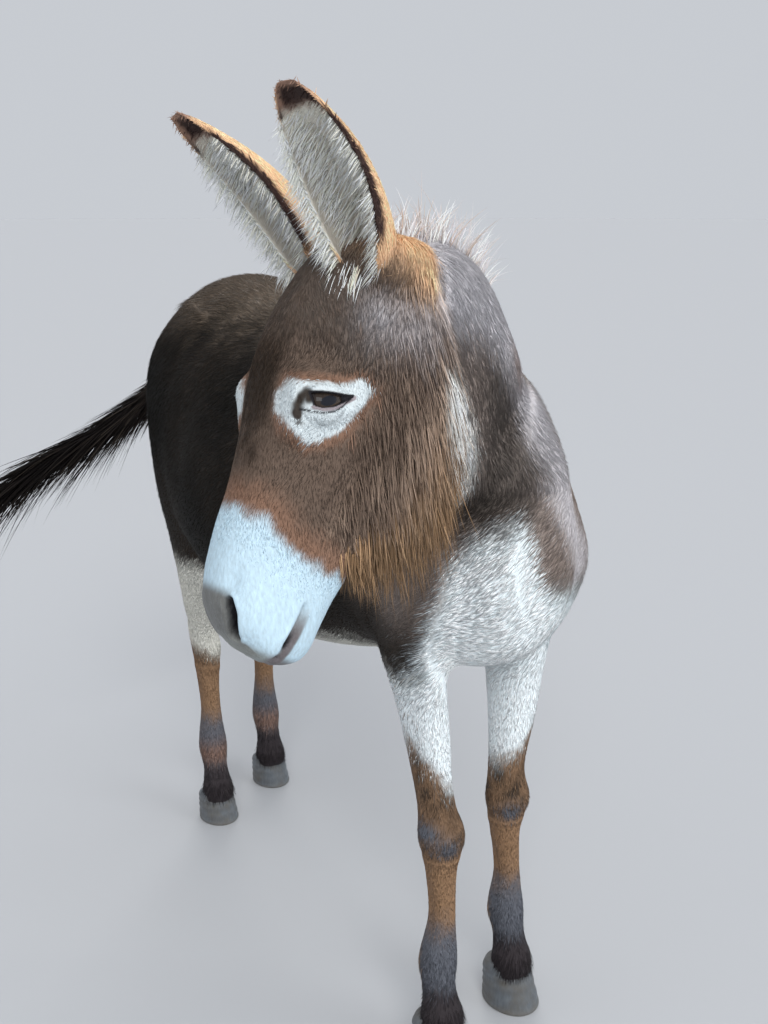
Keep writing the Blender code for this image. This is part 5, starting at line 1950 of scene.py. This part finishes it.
def hair_left_out(points, folded, headed, nose, mouth, chance):
    """Places with no hair of their own: lids, nostrils, lips, and under the hooves.

    chance is a random number for each root: down the muzzle fewer and fewer are kept."""
    eye = eye_numbers(folded)
    lids = opening_margin(eye) < BARE_LID
    lids |= path_distance(eye[:, :2], INNER_CORNER) < BARE_CORNER
    bare = (lids & (folded[:, 2] > 0.03)) | (nose < BARE_NOSTRIL) | (mouth < BARE_LIP)
    muzzle = folded[:, 0] - muzzle_border(folded[:, 1])
    bare = bare | (chance < rise(muzzle, 0.000, 0.045))
    return (headed & bare) | (points[:, 2] < LOWEST_ROOT)


skin_tree = BVHTree.FromPolygons(skin_points.tolist(), skin_triangles.tolist())


def above_skin(roots, normals, gap=0.03):
    """Lift each tuft whose tip would sink in a hollow, to gap times its length."""
    length = roots["size"][:, 2]
    tips = roots["place"] + roots["lie"] * length[:, None]
    heights = np.empty(len(tips))
    for number, tip in enumerate(tips.tolist()):
        place, outward, _, _ = skin_tree.find_nearest(tip)
        heights[number] = (Vector(tip) - place).dot(outward)
    lacking = np.maximum(gap * length - heights, 0.0) / length
    roots["lie"] = unit(roots["lie"] + normals * lacking[:, None])


# %% Grow every region
middles = skin_points[skin_triangles].mean(axis=1)
triangle_regions = region_names(middles)
triangle_numbers = mirrored(head_numbers(middles))
for seed, (name, (density, width, lift)) in enumerate(COAT_PIECES.items()):
    chosen = triangle_regions == name
    if name == "head":
        density = density * (1.0 - 0.6 * rise(triangle_numbers[chosen, 0], 0.25, 0.30))
    places, normals, corners, weights = new_roots(
        skin_points, skin_normals, skin_triangles[chosen], density, 20 + seed)
    numbers = head_numbers(places)
    headed = np.full(len(places), name == "head")
    gaps = [at_roots(gap, corners, weights) for gap in (nostril_gap, mouth_gap)]
    chance = np.random.default_rng(110 + seed).random(len(places))
    kept = ~hair_left_out(places, mirrored(numbers), headed, *gaps, chance)
    places, normals, numbers, headed = places[kept], normals[kept], numbers[kept], headed[kept]
    lengths = coat_length(places, mirrored(numbers), headed)
    widths = width * np.clip(lengths / 0.008, 0.60, 1.4) if name == "head" else width
    mingling = 0.0016 if name == "head" else 0.0045     # softens the borders of markings
    nudge = np.random.default_rng(50 + seed).normal(0.0, mingling, places.shape)
    colour = coat_colour(places + nudge)
    roots = combed(places, normals, coat_flow(places, numbers, headed), lengths, widths,
                   lift, 0.03, colour, 80 + seed)
    above_skin(roots, normals)
    roots["root_uv"] = map_of_piece(name, places)
    finish = FACE_COAT if name == "head" else COAT
    coat_piece("coat_" + name, roots, 1, finish, [])
print("short coat:", sum(tuft_triangles.values()), "triangles")

# %% [markdown]
# ## Hair of the ears
#
# The back of the ear has short hair that runs to the tip. The cup is filled with long
# pale hair that grows out of it and hangs over one rim as a fringe, thin enough in the
# middle for the skin to show. The other rim and the tip are edged with short dark hair.

# %% Locks that hang free


def hanging(places, normals, direction, lengths, widths, gravity, colour, seed,
            scatter=0.20, curl=0.10, thickness=0.35):
    """Roots for locks that leave the skin in a given direction and droop."""
    rng = np.random.default_rng(seed)
    count = len(places)
    lie = unit(direction + rng.normal(0.0, scatter, places.shape))
    length = lengths * rng.uniform(0.65, 1.20, count)
    width = widths * rng.uniform(0.70, 1.25, count)
    bend = DOWN * (gravity * length)[:, None]
    bend = bend + rng.normal(0.0, curl, places.shape) * length[:, None]
    return {
        "place": places - normals * 0.0010, "lie": lie, "outward": normals,
        "size": np.column_stack([width * thickness / 2, width / 2, length]), "bend": bend,
        "tone": rng.beta(1.8, 1.8, count), "coat_colour": with_alpha(colour),
    }


def together(*groups):
    return {name: np.concatenate([group[name] for group in groups]) for name in groups[0]}


# %% Ear hair


def ear_coat(side_name, seed):
    points, normals, triangles, share, spread, inside = ear_data[side_name]
    axis, facing, across = ears[side_name][2:]
    middle_share = share[triangles].mean(axis=1)
    on_back = inside[triangles].mean(axis=1) < 0.7
    on_rim = np.abs(spread[triangles]).mean(axis=1) > 0.86
    groups = []

    def rooted(chosen, density, offset):
        """Places, normals, and shares of the length and of the width, for new roots."""
        places, out, *spots = new_roots(points, normals, triangles[chosen], density,
                                        seed + offset)
        return places, out, at_roots(share, *spots), at_roots(spread, *spots)

    places, out, part, wide = rooted(on_back, 125000, 0)
    flow = axis + across * (0.25 * wide)[:, None]
    lengths = 0.0075 + 0.0060 * rise(part, 0.25, 0.05) - 0.0025 * rise(part, 0.80, 0.95)
    colour = ear_colour(part, wide, np.zeros(len(part)), places)
    widths = 0.0018 - 0.0008 * rise(part, 0.70, 0.90)
    groups.append(combed(places, out, flow, lengths, widths, 0.10, 0.06, colour, seed + 1))

    places, out, part, wide = rooted(~on_back & (middle_share > 0.06), 130000, 2)
    bushy = rise(np.abs(wide), 0.05, 0.45)
    kept = np.random.default_rng(seed + 3).random(len(part)) < 0.30 + 0.70 * bushy
    places, out, part, wide = (value[kept] for value in (places, out, part, wide))
    lengths = 0.0200 - 0.0150 * rise(part, 0.58, 0.80) + 0.0070 * rise(part, 0.40, 0.12)
    direction = facing * 0.60 + DOWN * 0.30 + out * 0.12 - across * 0.35
    colour = ear_colour(part, wide * 0.85, np.ones(len(part)), places)
    groups.append(hanging(places, out, direction, lengths, 0.0014, 0.16, colour, seed + 4,
                          scatter=0.13))

    places, out, part, wide = rooted(on_rim & (middle_share > 0.10), 190000, 5)
    fringe = (wide < 0) & (part < 0.72)
    lengths = np.where(fringe, 0.0085 + 0.0100 * rise(part, 0.70, 0.35), 0.0036)
    outside = np.where(fringe, 0.75, 0.10)[:, None]
    direction = facing * 0.35 - across * outside + DOWN * (0.45 * outside)
    direction = direction + axis * (0.6 - outside * 0.7)
    colour = ear_colour(part, wide, np.where(fringe, 1.0, 0.0), places)
    groups.append(hanging(places, out, direction, lengths, 0.0009, 0.16, colour, seed + 6,
                          scatter=0.15))
    roots = together(*groups)
    centre = points.mean(axis=0)
    roots["root_uv"] = unrolled(roots["place"], centre, axis, facing)
    return roots


for seed, side_name in enumerate(SIDES):
    coat_piece("coat_ear_" + side_name, ear_coat(side_name, 200 + 10 * seed), 3, LOCKS, [])

# %% [markdown]
# ## Cheeks and beard
#
# In winter a donkey's cheeks grow long straight hair that hangs past the jaw and ends in
# a ginger beard with darker tips. The locks hang straight down whatever way the head is
# turned, so their direction is the same for all, and only their length depends on where
# they grow.

# %% Locks of the cheeks and the jaw
# Place along the head, with how far the beard drops there and where the jaw's edge is
BEARD_DROP = [(0.030, 0.020), (0.055, 0.036), (0.085, 0.066), (0.120, 0.092),
              (0.155, 0.094), (0.190, 0.080), (0.220, 0.056), (0.250, 0.024)]
JAW_LINE = [(0.030, -0.128), (0.100, -0.146), (0.135, -0.145), (0.205, -0.116),
            (0.250, -0.100)]


def head_roots(chosen, density, seed):
    """Roots on chosen triangles of the skin, with their head numbers."""
    places, normals = new_roots(skin_points, skin_normals, skin_triangles[chosen], density,
                                seed)[:2]
    return places, normals, head_numbers(places)


on_head_now = triangle_regions == "head"
along, above = triangle_numbers[:, :2].T
on_cheek = on_head_now & (above < -0.010) & (along > -0.030) & (along < 0.225)
on_cheek &= (along < 0.150) | (above < -0.045)
on_cheek &= ring_gap(triangle_numbers) > 0.006
places, normals, numbers = head_roots(on_cheek, 72000, 300)
lengths = 0.0190 + 0.0240 * rise(numbers[:, 1], -0.020, -0.085)
lengths = lengths * (0.35 + 0.65 * rise(numbers[:, 0], 0.222, 0.165))
direction = DOWN + normals * 0.30 + np.array(ALONG) * 0.05
colour = coat_colour(places)
cream = colour[:, 0] > 0.45
ginger = mixed(colour, GINGER, (~cream) * 0.55 * rise(numbers[:, 1], -0.070, -0.125))
cheeks = hanging(places, normals, direction, lengths, 0.0017, 0.12, ginger, 301,
                 scatter=0.10, curl=0.05)
cheeks["root_uv"] = map_of_piece("head", places)
coat_piece("cheek_hair", cheeks, 3, LOCKS, [])

on_jaw = on_head_now & (along > 0.045) & (along < 0.240)
on_jaw &= above < line_height(along, JAW_LINE) + 0.034
places, normals, numbers = head_roots(on_jaw, 84000, 310)
lengths = line_height(numbers[:, 0], BEARD_DROP)
side_fall = np.abs(numbers[:, 2]) / 0.045
lengths = np.maximum(lengths * (1.05 - 0.45 * np.clip(side_fall, 0.0, 1.0)), 0.020)
direction = DOWN + normals * 0.18 + np.array(ALONG) * 0.04
streak = rise(ripple(places * (1.0, 1.0, 0.1), 0.020, 21.0), -0.5, 0.7)
colour = mixed(GINGER, THROAT_BROWN, 0.55 * streak)
colour = mixed(colour, CHEEK_TAN, 0.4 * rise(side_fall, 0.6, 1.2))
beard = hanging(places, normals, direction, lengths, 0.0023, 0.10, colour, 311,
                scatter=0.09, curl=0.06)
beard["root_uv"] = map_of_piece("head", places)
coat_piece("beard_hair", beard, 4, BEARD_LOCKS, ["beard"])

# %% [markdown]
# ## Mane
#
# A donkey has no falling mane and no real forelock. Short coarse hair stands up along
# the crest, ragged and pale at the ends, and a few soft tufts sit at the roots of the
# ears.

# %% Mane and the tufts between the ears
CREST = [(-0.014, -0.215, 0.872), (-0.020, -0.262, 0.882), (-0.048, -0.325, 0.910),
         (-0.098, -0.372, 0.944), (-0.158, -0.405, 0.972), (-0.212, -0.424, 0.974)]
places, normals, _ = head_roots(path_distance(middles, CREST) < 0.034, 34000, 320)
height = rise(path_distance(places, CREST[1:-1]), 0.075, 0.015)
kept = (path_distance(places, CREST) < 0.030) & (normals[:, 2] > 0.35)
places, normals, height = places[kept], normals[kept], height[kept]
lengths = 0.016 + 0.036 * height
backward = np.array((0.45, 0.50, 0.0))
direction = normals * 0.6 + backward * 0.55 + np.array((0.0, 0.0, 0.65))
streak = rise(ripple(places, 0.017, 23.0), -0.4, 0.6)
colour = mixed(NECK_GREY, CHEEK_TAN, 0.8 * streak)
colour = mixed(colour, CREAM, 0.8 * rise(ripple(places, 0.023, 29.0), -0.1, 0.5))
clump = ripple(places, 0.030, 37.0)[:, None] * np.array((0.25, 0.10, 0.0))
lengths = lengths * (1.0 + 0.35 * ripple(places, 0.026, 33.0))
mane = hanging(places, normals, direction + clump, lengths, 0.0014, 0.30, colour, 321,
               scatter=0.16, curl=0.16)
mane["root_uv"] = map_of_piece("neck", places)
coat_piece("mane_hair", mane, 5, LOCKS, ["mane"])

# %% Soft tufts at the foot of each ear
tuft_groups = []
for side in SIDES.values():
    gap = np.linalg.norm((head_numbers(middles) - (0.020, 0.030, side * 0.046))
                         / (0.015, 0.018, 0.012), axis=1)
    places, normals, _ = head_roots(on_head_now & (gap < 1.0), 190000, 330 + side)
    direction = np.array(ALONG) * 0.65 + normals * 0.35 + DOWN * 0.45
    colour = mixed(CREAM, EAR_ORANGE, 0.5 * rise(ripple(places, 0.020, 31.0), 0.0, 0.9))
    tuft = hanging(places, normals, direction, 0.021, 0.0013, 0.45, colour, 332 + side,
                   scatter=0.14)
    tuft["root_uv"] = map_of_piece("head", places)
    tuft_groups.append(tuft)
coat_piece("ear_root_tufts", together(*tuft_groups), 4, LOCKS, [])

# %% [markdown]
# ## Tail
#
# The tail has a bony core with short hair, and below it a switch of long black hair. The
# core is a tapering tube, and the locks grow on it, each following the tail's direction
# and falling a little.

# %% Tail core and switch
# Tail: place, half width, rise and depth
TAIL = [
    (0.000, 0.372, 0.795, 0.022, 0.024, 0.022),
    (-0.016, 0.420, 0.770, 0.016, 0.018, 0.017),
    (-0.066, 0.478, 0.702, 0.011, 0.012, 0.012),
    (-0.138, 0.508, 0.645, 0.009, 0.009, 0.010),
    (-0.225, 0.520, 0.602, 0.007, 0.007, 0.008),
    (-0.300, 0.515, 0.566, 0.003, 0.003, 0.003),
]
TAIL_BLACK = (0.0075, 0.0062, 0.0062)
TAIL_BACK = 0.545         # no tail hair reaches further back than about this
core_mesh = mesh_of("tail", *tube(TAIL, steps=6, count=20))
core_points, core_normals = points_of(core_mesh), normals_of(core_mesh)
core_triangles = triangles_of(core_mesh)
tail_rows = smooth_between(TAIL, 12)[:, :3]
tail_ways = unit(np.gradient(tail_rows, axis=0))


def tail_colour(points):
    dock = rise(points[:, 0], -0.090, -0.020)
    return mixed(TAIL_BLACK, CHOCOLATE, 0.8 * dock)


store_look(core_mesh, tail_colour(core_points), np.zeros(len(core_points)))
core_mesh.materials.append(SKIN)
places, normals = new_roots(core_points, core_normals, core_triangles, 75000, 340)[:2]
nearest = np.argmin(np.linalg.norm(places[:, None] - tail_rows[None], axis=2), axis=1)
ways = tail_ways[nearest]
part = nearest / (len(tail_rows) - 1)
lengths = 0.030 + 0.120 * rise(part, 0.10, 0.75)
fall = 0.10 + 0.12 * rise(part, 0.2, 0.8)
direction = ways + normals * (0.26 - 0.10 * part)[:, None]
room_behind = (TAIL_BACK - places[:, 1]) / np.maximum(unit(direction)[:, 1] + 0.12, 0.05)
lengths = np.minimum(lengths, room_behind)
switch = hanging(places, normals, direction, lengths, 0.0032, fall, tail_colour(places), 341,
                 scatter=0.07, curl=0.07)
switch["root_uv"] = unrolled(places, (0.0, 0.355, 0.8), (-0.55, 0.45, -0.35), (0, 0, 1))
coat_piece("tail_hair", switch, 6, LOCKS, ["tail_middle", "tail_tuft"])
as_piece("tail_core", core_mesh, ["tail_dock"])

# %% [markdown]
# ## Lashes
#
# The upper lid carries a row of dark lashes that point out and down.

# %% Eyelashes
LASHES = 42
LASH_LENGTH, LASH_WIDTH = 0.0055, 0.00050
lash_groups = []
for side in SIDES.values():
    along = np.linspace(-0.0210, 0.0080, LASHES)
    flat = np.column_stack([along, line_height(along, UPPER_EDGE) + 0.0008])
    depth = np.sqrt((EYE_RADIUS + LID_THICKNESS) ** 2 - (flat ** 2).sum(axis=1))
    local = np.column_stack([flat, depth + 0.0004])
    places = from_head(from_eye(local) * (1.0, 1.0, side))
    ways = np.column_stack([22.0 * along, np.full(len(along), -0.35),
                            np.ones(len(along))]) @ EYE_AXES
    ways = (ways * (1.0, 1.0, side)) @ HEAD_AXES
    colour = np.tile(BARE_DARK, (len(places), 1))
    lash = hanging(places, unit(ways), ways, LASH_LENGTH, LASH_WIDTH, 0.25, colour,
                   350 + side, scatter=0.10)
    row = np.full(len(along), 0.5 + 0.2 * side)
    lash["root_uv"] = np.column_stack([0.5 + 15.0 * along, row, np.zeros(len(along))])
    lash_groups.append(lash)
coat_piece("lashes", together(*lash_groups), 3, LOCKS, [])
print("all hair:", sum(tuft_triangles.values()), "triangles")

# %% [markdown]
# ## Stage and light
#
# The donkey stands on a plain pale floor, as bright as the world behind it, so that no
# edge shows between them. Three broad suns light it: one high and ahead on its right, one
# low and ahead on its left, and one behind. A small window gives the eyes their glint.

# %% Floor, world and lights
FLOOR_RADIUS = 60.0
SUN_BREADTH = math.radians(32.0)
WINDOW_SIZE = 1.1
WORLD_TONE = (0.575, 0.600, 0.640)
FLOOR_TONE = (0.509, 0.521, 0.542, 1.0)     # lit by the lamps it looks like the world

bpy.ops.mesh.primitive_circle_add(vertices=96, radius=FLOOR_RADIUS, fill_type="NGON")
floor = bpy.context.object
floor.name = "floor"
floor_material, _, floor_shader = material_named(
    "floor", Roughness=1.0, Specular_IOR_Level=0.0)
floor_shader.inputs["Base Color"].default_value = FLOOR_TONE
floor.data.materials.append(floor_material)

world = bpy.data.worlds.new("studio")
bpy.context.scene.world = world
bpy.context.scene.view_settings.view_transform = "Standard"
world.use_nodes = True
world.node_tree.nodes["Background"].inputs["Color"].default_value = (*WORLD_TONE, 1.0)

# name, place it shines from, strength, colour
LIGHTS = [
    ("key", (-1.5, -3.1, 3.0), 1.60, (1.0, 0.985, 0.96)),
    ("fill", (1.7, -3.2, 1.1), 1.55, (0.96, 0.985, 1.0)),
    ("rim", (1.6, 2.8, 3.0), 1.00, (1.0, 0.98, 0.95)),
    ("window", (-1.9, -2.6, 2.3), 8.0, (0.85, 0.93, 1.0)),
]
for name, place, power, tint in LIGHTS:
    light_data = bpy.data.lights.new(name, "AREA" if name == "window" else "SUN")
    if name == "window":
        light_data.shape = "SQUARE"
        light_data.size = WINDOW_SIZE
    else:
        light_data.angle = SUN_BREADTH
    light_data.energy = power
    light_data.color = tint
    light = bpy.data.objects.new(name, light_data)
    bpy.context.scene.collection.objects.link(light)
    light.location = place
    light.visible_glossy = name == "window"
    light.rotation_euler = (Vector((0, 0, 0.6)) - Vector(place)).to_track_quat("-Z", "Y").to_euler()
